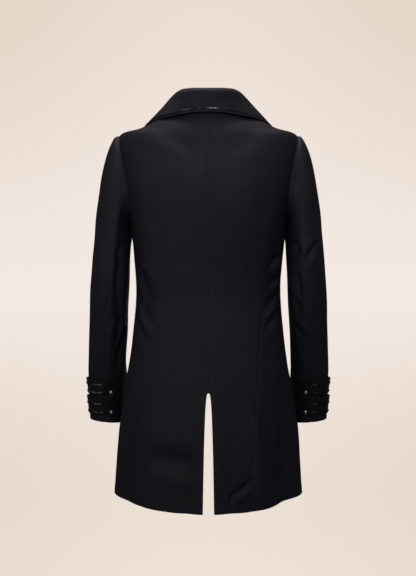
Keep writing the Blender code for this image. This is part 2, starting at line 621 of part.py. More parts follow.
def add_collar(finish, braid_finish):
    end = COLLAR[-1][0]
    angles = np.linspace(-end, end, COLLAR_STEPS + 1)
    stand = np.linspace(0, STAND_SHARE, STAND_STEPS + 1)
    fall = np.linspace(STAND_SHARE, 1, FALL_STEPS + 1)
    whole = collar_points(angles, np.concatenate([stand, fall[1:]]))
    normal = grid_normals(whole)
    grid = inset(whole[:, : STAND_STEPS + 1], COLLAR_START, SEAM_GAP / 2)
    add_wall("collar_stand", grid, CLOTH, finish, 1, normal[:, : STAND_STEPS + 1])
    grid = inset(whole[:, STAND_STEPS:], SEAM_GAP / 2)
    add_wall("collar_fall", grid, CLOTH, finish, 1, normal[:, STAND_STEPS:])
    edged = np.abs(angles) < COLLAR_BRAID_END
    line = collar_points(angles[edged], np.array([0.99, 1.0]))
    down = line[:, 1] - line[:, 0]
    down = down / np.linalg.norm(down, axis=-1, keepdims=True)
    facing = np.cross(np.gradient(line[:, 1], axis=0), down)
    facing = facing / np.linalg.norm(facing, axis=-1, keepdims=True)
    middle = line[:, 1] - down * COLLAR_BRAID_INSET + facing * (CLOTH / 2 + SEAM_GAP * 2 + BRAID_THICK / 2)
    grid = np.stack([middle - down * BRAID_WIDTH / 2, middle + down * BRAID_WIDTH / 2], 1)
    add_wall("collar_braid", grid, BRAID_THICK, braid_finish)


def add_front_buttons(finish):
    for number, height in enumerate(FRONT_BUTTON_HEIGHTS, 1):
        base = moved_out(form, 180, height, LEFT_LIFT + CLOTH / 2 + BUTTON_SHANK)
        add_button(f"front_button_{number}", base, outward(form, 180.0, height), FRONT_BUTTON, finish)


def main():
    for old in list(bpy.data.objects):
        bpy.data.objects.remove(old)
    cloth = material("coat_cloth", (0.0105, 0.0105, 0.0135), 0.62)
    strap = material("strap_brocade", (0.0090, 0.0090, 0.0110), 0.42)
    braid = material("black_braid", (0.0120, 0.0120, 0.0140), 0.22)
    metal = material("silver_metal", (0.55, 0.55, 0.56), 0.24, 1.0)
    add_backs(cloth)
    add_side_bodies(cloth)
    add_fronts(cloth)
    add_lapels(cloth)
    add_collar(cloth, braid)
    add_sleeves(cloth)
    add_cuffs(strap, braid, metal)
    add_front_buttons(metal)


main()
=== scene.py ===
"""The looks of a man's black redingote, seen from behind and worn hollow: a fitted frock coat of twill with a
wide fall collar, peaked lapels, two-piece sleeves with braided and buttoned cuff straps and a deep back vent.

Lengths are metres. +X is the wearer's left, -Y the front and +Z up. The origin lies midway between the two
neck points. Each cloth piece is a thin closed shell on the form that its solid has.
"""

import math

import bpy
import numpy as np
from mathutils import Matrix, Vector


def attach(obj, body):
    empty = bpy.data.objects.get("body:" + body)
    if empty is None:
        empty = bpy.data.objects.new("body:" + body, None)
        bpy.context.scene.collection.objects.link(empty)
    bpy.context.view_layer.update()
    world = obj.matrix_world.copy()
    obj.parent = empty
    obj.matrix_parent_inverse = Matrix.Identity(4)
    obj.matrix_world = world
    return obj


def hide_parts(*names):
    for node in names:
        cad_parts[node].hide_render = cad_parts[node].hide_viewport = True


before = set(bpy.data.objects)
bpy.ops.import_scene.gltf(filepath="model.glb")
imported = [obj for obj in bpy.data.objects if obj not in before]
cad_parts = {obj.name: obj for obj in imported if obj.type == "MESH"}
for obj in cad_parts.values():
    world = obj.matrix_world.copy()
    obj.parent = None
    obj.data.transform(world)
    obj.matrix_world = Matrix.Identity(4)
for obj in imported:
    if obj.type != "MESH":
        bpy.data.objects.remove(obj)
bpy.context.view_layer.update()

# The camera stands level behind the coat, 2.2 m off, as the photograph's does. The picture is 576 rows high,
# and one row is 2.375 mm in the plane of the shoulder seams.
PICTURE_ROWS, METRES_PER_ROW, LONG_SIDE = 576, 0.002375, 36
CAMERA_PLACE, CAMERA_AIM = Vector((0.00095, 2.2, -0.416)), Vector((0.00095, 0.0, -0.416))

camera = bpy.data.objects.new("camera", bpy.data.cameras.new("camera"))
camera.data.lens = LONG_SIDE * CAMERA_PLACE.y / (PICTURE_ROWS * METRES_PER_ROW)
camera.location = CAMERA_PLACE
camera.rotation_euler = (CAMERA_AIM - CAMERA_PLACE).to_track_quat("-Z", "Y").to_euler()
bpy.context.scene.collection.objects.link(camera)
bpy.context.scene.camera = camera

# The studio is a round cove of pale warm card: a floor that sweeps up into a wall all round. It glows, most
# of all level with the coat. Softboxes stand above, behind, beside and in front of the coat.
FLOOR, FLOOR_MIDDLE, FLOOR_RADIUS, SWEEP_RADIUS, WALL_TOP = -1.50, 1.3, 2.6, 1.7, 3.2
CARD_COLOUR, CARD_SHADE = (0.06, 0.057, 0.054), 0.985
GLOW_NEAR, GLOW_FAR = (0.888, 0.808, 0.757), (0.778, 0.661, 0.563)
GLOW_HEIGHT, GLOW_SPREAD, GLOW_FADES_BELOW, GLOW_FADES_ASIDE = -0.45, 4.5, 1.75, 1.2
WORLD_COLOUR, WORLD_STRENGTH = (1.0, 0.985, 0.97), 0.06
SOFTBOXES = (
    # place, size, power, colour
    ((0.0, -0.25, 1.3), 0.8, 7.5, (1.0, 0.96, 1.0)),
    ((0.0, 2.1, 0.35), 1.4, 4.1, (0.96, 1.0, 0.92)),
    ((0.0, 1.2, 0.55), 0.9, 2.2, (1.0, 0.94, 1.0)),
    ((0.9, 0.9, -0.05), 0.7, 1.9, (0.97, 1.0, 0.95)),
    ((-0.9, 0.9, 0.35), 0.7, 1.1, (0.98, 1.0, 0.95)),
    ((2.2, 0.3, 0.4), 2.0, 1.8, (1.0, 0.98, 1.0)),
    ((-2.2, 0.3, 0.5), 2.0, 0.9, (1.0, 0.98, 1.0)),
    ((0.0, -0.75, 1.35), 0.9, 3.0, (1.0, 0.99, 1.0)),
    ((-0.35, -1.9, -0.25), 0.9, 4.0, (1.0, 0.99, 1.0)),
    ((0.25, -1.6, 0.15), 0.7, 2.4, (1.0, 0.99, 1.0)),
)
SOFTBOX_AIM = Vector((0.0, 0.0, -0.25))


def mesh_object(name, points, quads, materials, uv=None, indices=None, edge=None):
    """A smooth mesh from arrays of points and quads, with a UV and an edge value for each point and a
    material index for each quad. On the braids the edge value is their painted glint mask."""
    mesh = bpy.data.meshes.new(name)
    mesh.vertices.add(len(points))
    mesh.vertices.foreach_set("co", np.asarray(points, np.float32).ravel())
    mesh.loops.add(quads.size)
    mesh.loops.foreach_set("vertex_index", quads.ravel().astype(np.int32))
    mesh.polygons.add(len(quads))
    mesh.polygons.foreach_set("loop_start", np.arange(len(quads), dtype=np.int32) * 4)
    mesh.update(calc_edges=True)
    for material in materials:
        mesh.materials.append(material)
    if indices is not None:
        mesh.polygons.foreach_set("material_index", indices.astype(np.int32))
    if uv is not None:
        layer = mesh.uv_layers.new(name="cloth")
        layer.data.foreach_set("uv", uv[quads.ravel()].astype(np.float32).ravel())
    if edge is not None:
        layer = mesh.attributes.new("edge", "FLOAT", "POINT")
        layer.data.foreach_set("value", edge.astype(np.float32))
    mesh.shade_smooth()
    made = bpy.data.objects.new(name, mesh)
    bpy.context.scene.collection.objects.link(made)
    return made


def grid_quads(rows, columns, closed=False):
    """The quads of a grid of points, row by row. A closed grid's last column joins its first."""
    i, j = np.mgrid[0:rows - 1, 0:columns if closed else columns - 1]
    after = (j + 1) % columns
    corners = [i * columns + j, i * columns + after, (i + 1) * columns + after, (i + 1) * columns + j]
    return np.stack(corners, -1).reshape(-1, 4)


def spun(reach, rise, count, base, axes):
    """A profile of reach and rise from a base point, spun in this many steps about the last of three axes."""
    turn = np.linspace(0, 2 * math.pi, count + 1)[:-1, None]
    spokes = np.cos(turn) * axes[0] + np.sin(turn) * axes[1]
    return base + rise[:, None, None] * axes[2] + reach[:, None, None] * spokes


class Signal:
    """A number on a material's sockets. Arithmetic on it adds Math nodes to the material."""

    def __init__(self, finish, socket):
        self.finish, self.socket = finish, socket

    def math(self, operation, *values):
        return self.finish.node("ShaderNodeMath", {"operation": operation}, dict(enumerate(values)))[0]

    def __add__(self, other):
        return self.math("ADD", self, other)

    def __sub__(self, other):
        return self.math("SUBTRACT", self, other)

    def __rsub__(self, other):
        return self.math("SUBTRACT", other, self)

    def __mul__(self, other):
        return self.math("MULTIPLY", self, other)

    def __truediv__(self, other):
        return self.math("DIVIDE", self, other)

    __radd__, __rmul__ = __add__, __mul__

    def wave(self, pitch):
        """A sine that comes round again after this pitch."""
        return self.math("SINE", self * (2 * math.pi / pitch))

    def zigzag(self):
        """Rises from 0 to 1 and falls back over each whole number."""
        return self.math("PINGPONG", self, 0.5) * 2

    def between(self, low, high):
        """Runs softly from 0 at low to 1 at high."""
        settings = {"interpolation_type": "SMOOTHSTEP"}
        return self.finish.node("ShaderNodeMapRange", settings, {0: self, 1: low, 2: high})[0]


class Finish:
    """A Principled material, with its constant values by socket name."""

    def __init__(self, name, constants):
        self.material = bpy.data.materials.new(name)
        self.material.use_nodes = True
        self.tree = self.material.node_tree
        self.shader = self.tree.nodes["Principled BSDF"]
        for socket, value in constants.items():
            self.shader.inputs[socket].default_value = value

    def node(self, kind, settings=None, inputs=None):
        """Adds a node with these settings and socket values or links, and gives its outputs as signals."""
        made = self.tree.nodes.new(kind)
        for key, value in (settings or {}).items():
            setattr(made, key, value)
        for key, value in (inputs or {}).items():
            if isinstance(value, Signal):
                self.tree.links.new(value.socket, made.inputs[key])
            else:
                made.inputs[key].default_value = value
        return [Signal(self, socket) for socket in made.outputs]

    def feed(self, socket, signal):
        self.tree.links.new(signal.socket, self.shader.inputs[socket])

    def across_and_along(self):
        """Metres across and along the cloth, from its own UV map."""
        place = self.node("ShaderNodeUVMap", {"uv_map": "cloth"})[0]
        return self.node("ShaderNodeSeparateXYZ", None, {0: place})[:2]

    def noise(self, scale, detail=2.0):
        """Noise of this many swells a metre, over the piece's own coordinates."""
        place = self.node("ShaderNodeTexCoord")[3]
        return self.node("ShaderNodeTexNoise", None, {"Vector": place, "Scale": scale, "Detail": detail})[0]

    def tint(self, factor, low, high):
        """A colour that runs from low to high as the factor does."""
        inputs = {0: factor, 6: (*low, 1), 7: (*high, 1)}
        return self.node("ShaderNodeMix", {"data_type": "RGBA"}, inputs)[2]

    def raise_surface(self, height, distance):
        """Bumps the surface by this height signal, whose full range is this distance."""
        self.feed("Normal", self.node("ShaderNodeBump", None, {"Distance": distance, "Height": height})[0])


card = Finish("pale_card", {"Roughness": 0.9, "Specular IOR Level": 0.1, "Emission Strength": 1.0})
card.feed("Base Color", card.tint(card.noise(1.2), [CARD_SHADE * part for part in CARD_COLOUR], CARD_COLOUR))
x, y, z = card.node("ShaderNodeSeparateXYZ", None, {0: card.node("ShaderNodeTexCoord")[3]})
aside = x.math("MINIMUM", x.math("ABSOLUTE", x), y.math("ABSOLUTE", y))
rise = z - GLOW_HEIGHT
rise = rise.math("MAXIMUM", rise, rise * -GLOW_FADES_BELOW)
fade = rise * rise * (1 + aside * aside * GLOW_FADES_ASIDE) / -GLOW_SPREAD
card.feed("Emission Color", card.tint(fade.math("EXPONENT", fade), GLOW_FAR, GLOW_NEAR))
sweep = np.radians(np.linspace(0, 90, 25))
wall = FLOOR_RADIUS + SWEEP_RADIUS * np.sin(sweep)
cove_out = np.concatenate([[0.001, FLOOR_MIDDLE], wall, wall[-1:]])
cove_up = np.concatenate([[FLOOR, FLOOR], FLOOR + SWEEP_RADIUS * (1 - np.cos(sweep)), [WALL_TOP]])
cove = spun(cove_out, cove_up, 96, 0, np.eye(3))
cove_quads = grid_quads(*cove.shape[:2], closed=True)
studio = mesh_object("studio_cove", cove.reshape(-1, 3), cove_quads, [card.material])
studio.visible_diffuse = studio.visible_glossy = False

world = bpy.data.worlds.new("studio_air")
world.use_nodes = True
air = world.node_tree.nodes["Background"].inputs
air["Color"].default_value, air["Strength"].default_value = (*WORLD_COLOUR, 1), WORLD_STRENGTH
bpy.context.scene.world = world
for number, (place, size, power, colour) in enumerate(SOFTBOXES, 1):
    lamp = bpy.data.lights.new(f"softbox_{number}", "AREA")
    lamp.size, lamp.energy, lamp.color = size, power, colour
    stand = bpy.data.objects.new(f"softbox_{number}", lamp)
    stand.location = place
    stand.visible_camera = False
    stand.rotation_euler = (SOFTBOX_AIM - Vector(place)).to_track_quat("-Z", "Y").to_euler()
    bpy.context.scene.collection.objects.link(stand)
bpy.context.scene.view_settings.view_transform = "Standard"

# The backs are two panels of black twill, sewn together down the centre back to the top of the vent and to
# the side bodies along the side back seams. Their vent and hem edges are turned in and stitched.
CLOTH = 0.0022
RINGS = (
    # back_z, side_z, front_z, half_width, back_y, front_y, middle_y, squareness
    (-0.918, -0.898, -0.908, 0.219, 0.152, -0.146, 0.022, 2.15),
    (-0.82, -0.812, -0.815, 0.2133, 0.147, -0.143, 0.021, 2.2),
    (-0.735, -0.735, -0.735, 0.2059, 0.142, -0.139, 0.019, 2.25),
    (-0.611, -0.611, -0.611, 0.1879, 0.13, -0.131, 0.012, 2.3),
    (-0.53, -0.53, -0.53, 0.1775, 0.117, -0.123, 0.006, 2.3),
    (-0.444, -0.444, -0.444, 0.1701, 0.106, -0.117, 0.0, 2.3),
    (-0.326, -0.326, -0.33, 0.1763, 0.119, -0.13, 0.0, 2.4),
    (-0.262, -0.262, -0.268, 0.1812, 0.129, -0.136, 0.0, 2.5),
    (-0.185, -0.159, -0.205, 0.2, 0.132, -0.131, 0.0, 2.5),
    (-0.105, -0.0575, -0.137, 0.2095, 0.113, -0.114, 0.0, 2.05),
    (-0.055, -0.0415, -0.106, 0.164, 0.098, -0.098, 0.0, 2.0),
    (-0.02, -0.023, -0.089, 0.117, 0.082, -0.086, 0.0, 2.0),
    (0.012, -0.004, -0.075, 0.074, 0.066, -0.075, 0.0, 2.0),
)
HEM, NECK = RINGS[0][0], RINGS[-1][0]
SKIRT_FLARES = (
    # angle, height, half_width, half_length, depth, lean
    (48, -0.9, 0.03, 0.18, 0.006, -3),
    (70, -0.9, 0.024, 0.15, -0.006, 3),
    (22, -0.93, 0.026, 0.12, -0.004, -8),
    (115, -0.9, 0.028, 0.18, 0.006, 0),
    (140, -0.9, 0.024, 0.15, -0.005, 0),
)
# How far the hem lifts or drops from the form's own, by the angle, and the height over which that fades.
HEM_CURVE = ((0, 0), (16, -0.0006), (36, -0.0030), (54, -0.0016), (70, 0.0), (84, 0.0042), (94, 0.0044),
             (112, 0.0008), (130, 0), (180, 0))
HEM_CURVE_OVER = 0.060
SIDE_BACK_SEAM = (
    # back_z, reach from the centre plane
    (-0.918, 0.0955),
    (-0.82, 0.098),
    (-0.735, 0.104),
    (-0.611, 0.1117),
    (-0.53, 0.117),
    (-0.444, 0.125),
    (-0.326, 0.1425),
    (-0.262, 0.151),
    (-0.225, 0.159),
    (-0.187, 0.173),
)
ARMHOLE_TOP, ARMHOLE_BOTTOM = -0.105, -0.262
ARMHOLE_BACK, ARMHOLE_FRONT, ARMHOLE_FULLER_BELOW = 18.5, 25.0, 0.25
SIDE_BACK_TURN, BACK_ARM_TURN, SIDE_SEAM_TURN, FRONT_ARM_TURN = 62, 90, 197, 245
SIDE_BODY_WAIST = -0.285
VENT_TOP, VENT_HALF_GAP, VENT_ROUNDING, VENT_FACING_FROM = -0.651, 0.0124, 0.32, 0.020
VENT_TOP_ROWS, END_CROWDING = (0.0, 0.0006, 0.0015, 0.003, 0.005, 0.0075), 0.35
SIDES = {"left": 1, "right": -1}

# Creases of the body: the angles and heights of both ends, how far the crease bows between them, its half
# width and its depth. Angles are positive on the wearer's left.
BODY_CREASES = (
    (80, -0.34, 58, -0.462, 0.004, 0.015, -0.0078),
    (74, -0.366, 61, -0.402, 0.003, 0.0062, -0.004),
    (76, -0.446, 54, -0.526, -0.005, 0.0066, 0.0064),
    (78, -0.474, 60, -0.54, -0.004, 0.007, -0.0076),
    (86, -0.418, 68, -0.44, 0.002, 0.006, -0.003),
    (86, -0.318, 68, -0.345, 0.002, 0.007, -0.003),
    (78, -0.54, 62, -0.585, -0.003, 0.0085, -0.0022),
    (-82, -0.33, -58, -0.38, -0.003, 0.0074, -0.0082),
    (-80, -0.385, -60, -0.42, -0.002, 0.0064, -0.0056),
    (-78, -0.428, -56, -0.474, -0.003, 0.007, -0.009),
    (-72, -0.455, -57, -0.494, -0.003, 0.0056, 0.0032),
    (-74, -0.478, -56, -0.516, -0.002, 0.0058, -0.0064),
    (-72, -0.53, -58, -0.56, -0.002, 0.007, -0.0026),
    (80, -0.026, 0, -0.085, 0.006, 0.015, 0.0022),
    (60, -0.052, 3, -0.099, -0.017, 0.013, -0.0013),
    (-80, -0.028, 0, -0.086, -0.005, 0.015, 0.002),
    (-58, -0.054, -8, -0.104, 0.016, 0.013, -0.0015),
    (52, -0.085, 22, -0.132, 0.008, 0.013, 0.0016),
    (44, -0.17, 50, -0.29, -0.008, 0.017, -0.0024),
    (-43, -0.165, -50, -0.3, 0.008, 0.017, -0.0024),
    (10, -0.33, 38, -0.362, 0.006, 0.016, -0.0014),
    (-12, -0.348, -40, -0.372, -0.005, 0.016, -0.0014),
    (4, -0.636, 24, -0.592, 0.004, 0.01, -0.001),
    (-4, -0.64, -22, -0.604, -0.004, 0.011, -0.0006),
    (62, -0.79, 6, -0.82, 0.006, 0.022, -0.006),
    (56, -0.842, 10, -0.856, 0.005, 0.017, 0.0022),
    (-39, -0.838, -21, -0.878, 0.007, 0.0068, -0.0054),
    (-23, -0.866, -21, -0.9, 0.003, 0.007, -0.0034),
    (-54, -0.8, -60, -0.87, 0.004, 0.009, -0.0034),
    (64, -0.64, 76, -0.85, 0.01, 0.015, -0.0036),
    (-64, -0.62, -74, -0.84, -0.008, 0.015, -0.0034),
    (-84, -0.6, -86, -0.86, 0.006, 0.013, 0.0024),
    (98, -0.345, 116, -0.372, 0.003, 0.007, -0.0046),
    (102, -0.405, 124, -0.428, 0.003, 0.007, -0.0042),
    (100, -0.462, 118, -0.49, 0.003, 0.007, -0.0034),
    (-97, -0.352, -118, -0.384, -0.003, 0.007, -0.0048),
    (-101, -0.418, -121, -0.436, -0.003, 0.007, -0.0036),
    (-99, -0.47, -120, -0.502, -0.003, 0.007, -0.0036),
    (170, -0.302, 146, -0.282, 0.004, 0.008, -0.0022),
    (171, -0.376, 144, -0.366, 0.003, 0.008, -0.0028),
    (170, -0.452, 142, -0.47, -0.004, 0.0085, -0.003),
    (-166, -0.378, -143, -0.362, -0.003, 0.008, -0.0028),
    (-166, -0.45, -140, -0.466, 0.004, 0.0085, -0.003),
    (-150, -0.56, -156, -0.76, 0.01, 0.016, -0.004),
    (148, -0.58, 152, -0.78, -0.01, 0.016, -0.004),
    (122, -0.6, 126, -0.86, 0.008, 0.017, 0.0036),
    (-124, -0.64, -128, -0.88, 0.008, 0.017, 0.0034),
    (126, -0.17, 138, -0.235, 0.006, 0.012, -0.0026),
    (-124, -0.165, -137, -0.24, -0.006, 0.012, -0.0026),
)
# Broad soft swells and hollows: angle, height, half width, half length and depth.
BODY_SWELLS = (
    (84, -0.278, 0.018, 0.028, 0.0032),
    (-84, -0.278, 0.018, 0.028, 0.0032),
    (84, -0.628, 0.02, 0.024, 0.0018),
    (-84, -0.632, 0.02, 0.02, 0.0014),
    (-67, -0.35, 0.02, 0.08, -0.0064),
    (-66, -0.835, 0.03, 0.12, -0.0165),
    (-44, -0.79, 0.012, 0.08, 0.004),
    (-72, -0.72, 0.018, 0.09, -0.007),
    (70, -0.034, 0.026, 0.012, 0.0036),
    (-70, -0.034, 0.026, 0.012, 0.0034),
    (70, -0.81, 0.02, 0.08, -0.005),
    (30, -0.17, 0.04, 0.05, 0.0014),
    (-28, -0.2, 0.04, 0.06, 0.0012),
)
BODY_RADIUS, SKIRT_RADIUS = 0.18, 0.207
CREASE_BANK, CREASE_BANK_PLACE, CREASE_BANK_WIDTH, CREASE_ENDS = 0.4, 2.1, 1.5, 1.3
SEAM_DEPTH, SEAM_WIDTH = 0.0008, 0.0018
ALLOWANCE, ALLOWANCE_RISE, ALLOWANCE_SOFT = 0.0110, 0.00016, 0.0040
PUCKER, PUCKER_REACH, PUCKER_PITCH = 0.00028, 0.0110, 0.0190
PUCKER_DRIFTS = ((1.9, 2.7), (1.3, 1.1))
SIDE_BACK_PRESS = {"left": 0.45, "right": 0.9}
TURN_RISE, STITCH_SINK, STITCH_WIDTH = 0.00030, 0.00045, 0.0013
HEM_TURN, VENT_TURN, EDGE_STITCH = 0.0195, 0.0330, 0.0060
DRAWN_OVER, SEAM_INSET, WEAR_REACH = 0.012, CLOTH * 0.45, 0.004
# The seed, the length and the height of the body's waves, and what all such waves share.
BODY_WAVES = ((3, 0.11, 0.0006), (5, 0.035, 0.00014))
WAVES, WAVE_LENGTHS, WAVE_SLACK = 9, (0.6, 1.7), 0.6
BACK_CUT, BACK_AREA = (0.265, 0.958), 0.1361


def bell(distance, width):
    """A bell curve: e to the power of minus the square of the distance over the width."""
    return np.exp(-((distance / width) ** 2))


def sine_and_cosine(angle):
    """The sine and the cosine of angles in degrees."""
    return np.sin(np.radians(angle)), np.cos(np.radians(angle))


def grids(*values):
    """The values as arrays of one shape."""
    return np.broadcast_arrays(*(np.asarray(value, float) for value in values))


def cubic(s, start, end, leaving, arriving):
    """The point at share s of a cubic from start to end with these slopes at its ends."""
    ends = (1 + 2 * s) * (1 - s) ** 2 * start + s * s * (3 - 2 * s) * end
    return ends + s * (1 - s) ** 2 * leaving - s * s * (1 - s) * arriving


def smooth(at, knots, values):
    """A curve through the values at the knots: cubics with end slopes from the values on either side."""
    knots, values = np.asarray(knots, float), np.asarray(values, float)
    at = np.clip(np.asarray(at, float), knots[0], knots[-1])
    slopes = np.gradient(values, knots, axis=0)
    i = np.clip(np.searchsorted(knots, at, side="right") - 1, 0, len(knots) - 2)
    span = knots[i + 1] - knots[i]
    s = (at - knots[i]) / span
    shape = s.shape + (1,) * (values.ndim - 1)
    s, span = s.reshape(shape), span.reshape(shape)
    return cubic(s, values[i], values[i + 1], span * slopes[i], span * slopes[i + 1])


def columns_at(at, rows):
    """A table's later columns at these values of its first one, each as a smooth curve."""
    rows = np.array(rows, float)
    return np.moveaxis(smooth(at, rows[:, 0], rows[:, 1:]), -1, 0)


def ease(value):
    """Runs from 0 to 1 with a soft start and a soft end: three squares less two cubes."""
    value = np.clip(value, 0, 1)
    return value * value * (3 - 2 * value)


def unit(vectors):
    """Vectors divided by their lengths."""
    return vectors / np.linalg.norm(vectors, axis=-1, keepdims=True)


def flare_relief(angle, z):
    """The skirt's flares: each is a bell curve across times a bell curve along, about a leaning line."""
    relief = 0
    for middle, height, half_width, half_length, depth, lean in SKIRT_FLARES:
        across, up, tilt = np.radians(angle - middle) * SKIRT_RADIUS, z - height, math.radians(lean)
        along = up * math.cos(tilt) + across * math.sin(tilt)
        aside = across * math.cos(tilt) - up * math.sin(tilt)
        relief = relief + depth * bell(aside, half_width) * bell(along, half_length)
    return relief


def form(angle, height):
    """The coat's form at an angle round it (0 at the centre back, 90 at the left side, 180 at the centre
    front): a superellipse whose half axes and heights come from the rings, moved out by the skirt's
    flares."""
    angle, height = grids(angle, height)
    side_z, front_z, half_width, back_y, front_y, middle_y, square = columns_at(height, RINGS)
    across, along = sine_and_cosine(angle)
    depth = np.where(along > 0, back_y - middle_y, middle_y - front_y)
    reach = (np.abs(across / half_width) ** square + np.abs(along / depth) ** square) ** (-1 / square)
    end_z = np.where(along > 0, height, front_z)
    z = end_z + (side_z - end_z) * across**2
    z = z + columns_at(np.abs(angle), HEM_CURVE)[0] * ease(1 - (height - HEM) / HEM_CURVE_OVER)
    reach = reach + flare_relief(np.abs(angle), z)
    return np.stack([reach * across, middle_y + reach * along, z], -1)


def outward(surface, u, v, facing=1):
    """A surface's unit normal: the cross product of two small steps on it, one along each parameter."""
    step_u, step_v = 0.2, 0.0005
    along_u = surface(u + step_u, v) - surface(u - step_u, v)
    along_v = surface(u, v + step_v) - surface(u, v - step_v)
    return unit(np.cross(along_v, along_u)) * facing


def moved_out(surface, u, v, distance, facing=1):
    """A surface's points, each moved along the outward normal by its distance."""
    u, v, distance = grids(u, v, distance)
    return surface(u, v) + outward(surface, u, v, facing) * distance[..., None]


def angle_at(x, height, low, high):
    """The angle from low to high where the ring is this far from the centre plane, found by halving."""
    x, height, low, high = grids(x, height, low, high)
    rising = form(high, height)[..., 0] > form(low, height)[..., 0]
    for _ in range(26):
        middle = (low + high) / 2
        short = (form(middle, height)[..., 0] < x) == rising
        low, high = np.where(short, middle, low), np.where(short, high, middle)
    return (low + high) / 2


def armhole(turn):
    """Angle and ring of the armhole's loop at a turn (0 at the shoulder tip, 90 at the back): an oval that is
    fuller in its lower half."""
    back, up = sine_and_cosine(turn)
    middle, reach = (ARMHOLE_TOP + ARMHOLE_BOTTOM) / 2, (ARMHOLE_TOP - ARMHOLE_BOTTOM) / 2
    wide = np.where(back > 0, ARMHOLE_BACK, ARMHOLE_FRONT)
    return 90 - wide * back * (1 - ARMHOLE_FULLER_BELOW * up), middle + reach * up


def side_back_seam(low, high):
    """Angle and ring of the side back seam at shares of its run below the waist and above it."""
    end_angle, end_height = armhole(SIDE_BACK_TURN)
    reaches = SIDE_BACK_SEAM + ((end_height, form(end_angle, end_height)[0]),)
    lower = HEM + (SIDE_BODY_WAIST - HEM) * low
    heights = np.concatenate([lower, SIDE_BODY_WAIST + (end_height - SIDE_BODY_WAIST) * high[1:]])
    angles = angle_at(columns_at(heights, reaches)[0], heights, low=5, high=88)
    angles[-1] = end_angle
    return angles, heights


def shoulder_seam(shares):
    """Angle and ring along the top of the shoulder, from its tip to the neck."""
    return np.full(shares.shape, 90.0), ARMHOLE_TOP + (NECK - ARMHOLE_TOP) * shares


def joined(*curves):
    """Several curves of angle and ring end to end, each starting on the last one's end point."""
    return tuple(np.concatenate([curves[0][k]] + [curve[k][1:] for curve in curves[1:]]) for k in (0, 1))


def spaced(count, crowding=0.7):
    """Shares from 0 to 1 that crowd at both ends: a blend of even steps and a half turn of a cosine."""
    t = np.linspace(0, 1, count + 1)
    return (1 - crowding) * t + crowding * (0.5 - 0.5 * np.cos(np.pi * t))


def run_along(points, axis=0):
    """How much length has run at each point of a line, or of a grid's lines along this axis, in metres."""
    steps = np.linalg.norm(np.diff(points, axis=axis), axis=-1)
    return np.insert(np.cumsum(steps, axis), 0, 0, axis)


def read_along(at, run, values):
    """Points or vectors read off a line at these runs of its length."""
    return np.stack([np.interp(at, run, values[:, k]) for k in range(3)], -1)


def matched(edge, other):
    """The other curve's angles and rings at the same shares of its length as the edge's points have."""
    run, shares = run_along(form(*other)), run_along(form(*edge))
    return tuple(np.interp(shares / shares[-1], run / run[-1], values) for values in other)


def ruled(first, second, shares):
    """Angles and rings of a patch whose rows run straight from one edge curve to the other."""
    return tuple(a[:, None] * (1 - shares) + b[:, None] * shares for a, b in zip(first, second))


def crease_relief(creases, u, z):
    """How far creases move the cloth out. Each runs along a parabola from end to end. Across it the height is
    a bell curve with a lower bank of the other sign beside it, and along it the height swells as a half
    sine."""
    relief = np.zeros(np.broadcast(u, z).shape)
    for u_from, z_from, u_to, z_to, bow, width, depth in creases:
        run = math.hypot(u_to - u_from, z_to - z_from)
        way_u, way_z = (u_to - u_from) / run, (z_to - z_from) / run
        along = np.clip(((u - u_from) * way_u + (z - z_from) * way_z) / run, 0, 1)
        aside = (u - u_from) * way_z - (z - z_from) * way_u - bow * 4 * along * (1 - along)
        bank = CREASE_BANK * bell(aside / width - CREASE_BANK_PLACE, CREASE_BANK_WIDTH)
        relief += depth * np.sin(np.pi * along) ** CREASE_ENDS * (bell(aside, width) - bank)
    return relief


def swell_relief(swells, u, z):
    """How far swells and hollows move the cloth out: each is a bell curve across times a bell curve along."""
    relief = np.zeros(np.broadcast(u, z).shape)
    for middle, height, half_width, half_length, depth in swells:
        relief += depth * bell(u - middle, half_width) * bell(z - height, half_length)
    return relief


def unevenness(u, z, seed, size, height):
    """Soft unevenness of worn cloth: a sum of sine waves of random direction and phase, about this long, over
    the root of their number."""
    draw = np.random.default_rng(seed)
    total = np.zeros(np.broadcast(u, z).shape)
    for _ in range(WAVES):
        way, phase = draw.uniform(0, math.pi), draw.uniform(0, 2 * math.pi)
        length = size * draw.uniform(*WAVE_LENGTHS)
        total += np.sin(2 * math.pi / length * (u * math.cos(way) + WAVE_SLACK * z * math.sin(way)) + phase)
    return total * height / math.sqrt(WAVES)


def edge_distances(sheet):
    """Each point's distance from the sheet's first and last column and first and last row, along the grid."""
    first, bottom = run_along(sheet, 1), run_along(sheet, 0)
    return {"first": first, "last": first[:, -1:] - first, "bottom": bottom, "top": bottom[-1:] - bottom}


def sewn(distance, run):
    """A sewn edge: a narrow groove, a low step where the pressed seam allowance ends, and puckers that fade
    away from the seam and whose pitch drifts along it."""
    groove = -SEAM_DEPTH * bell(distance, SEAM_WIDTH)
    step = ALLOWANCE_RISE * (1 - ease((distance - ALLOWANCE) / ALLOWANCE_SOFT + 0.5))
    drift = sum(swing * np.sin(run / (pitches * PUCKER_PITCH)) for swing, pitches in PUCKER_DRIFTS)
    pucker = PUCKER * np.exp(-distance / PUCKER_REACH) * np.sin(2 * math.pi * run / PUCKER_PITCH + drift)
    return groove + step + pucker


def turned(distance, width):
    """A turned edge: its allowance lifts the cloth as a low step, and the stitches sink along its end."""
    step = TURN_RISE * (1 - ease((distance - width) / ALLOWANCE_SOFT + 0.5))
    return step - STITCH_SINK * bell(distance - width, STITCH_WIDTH)


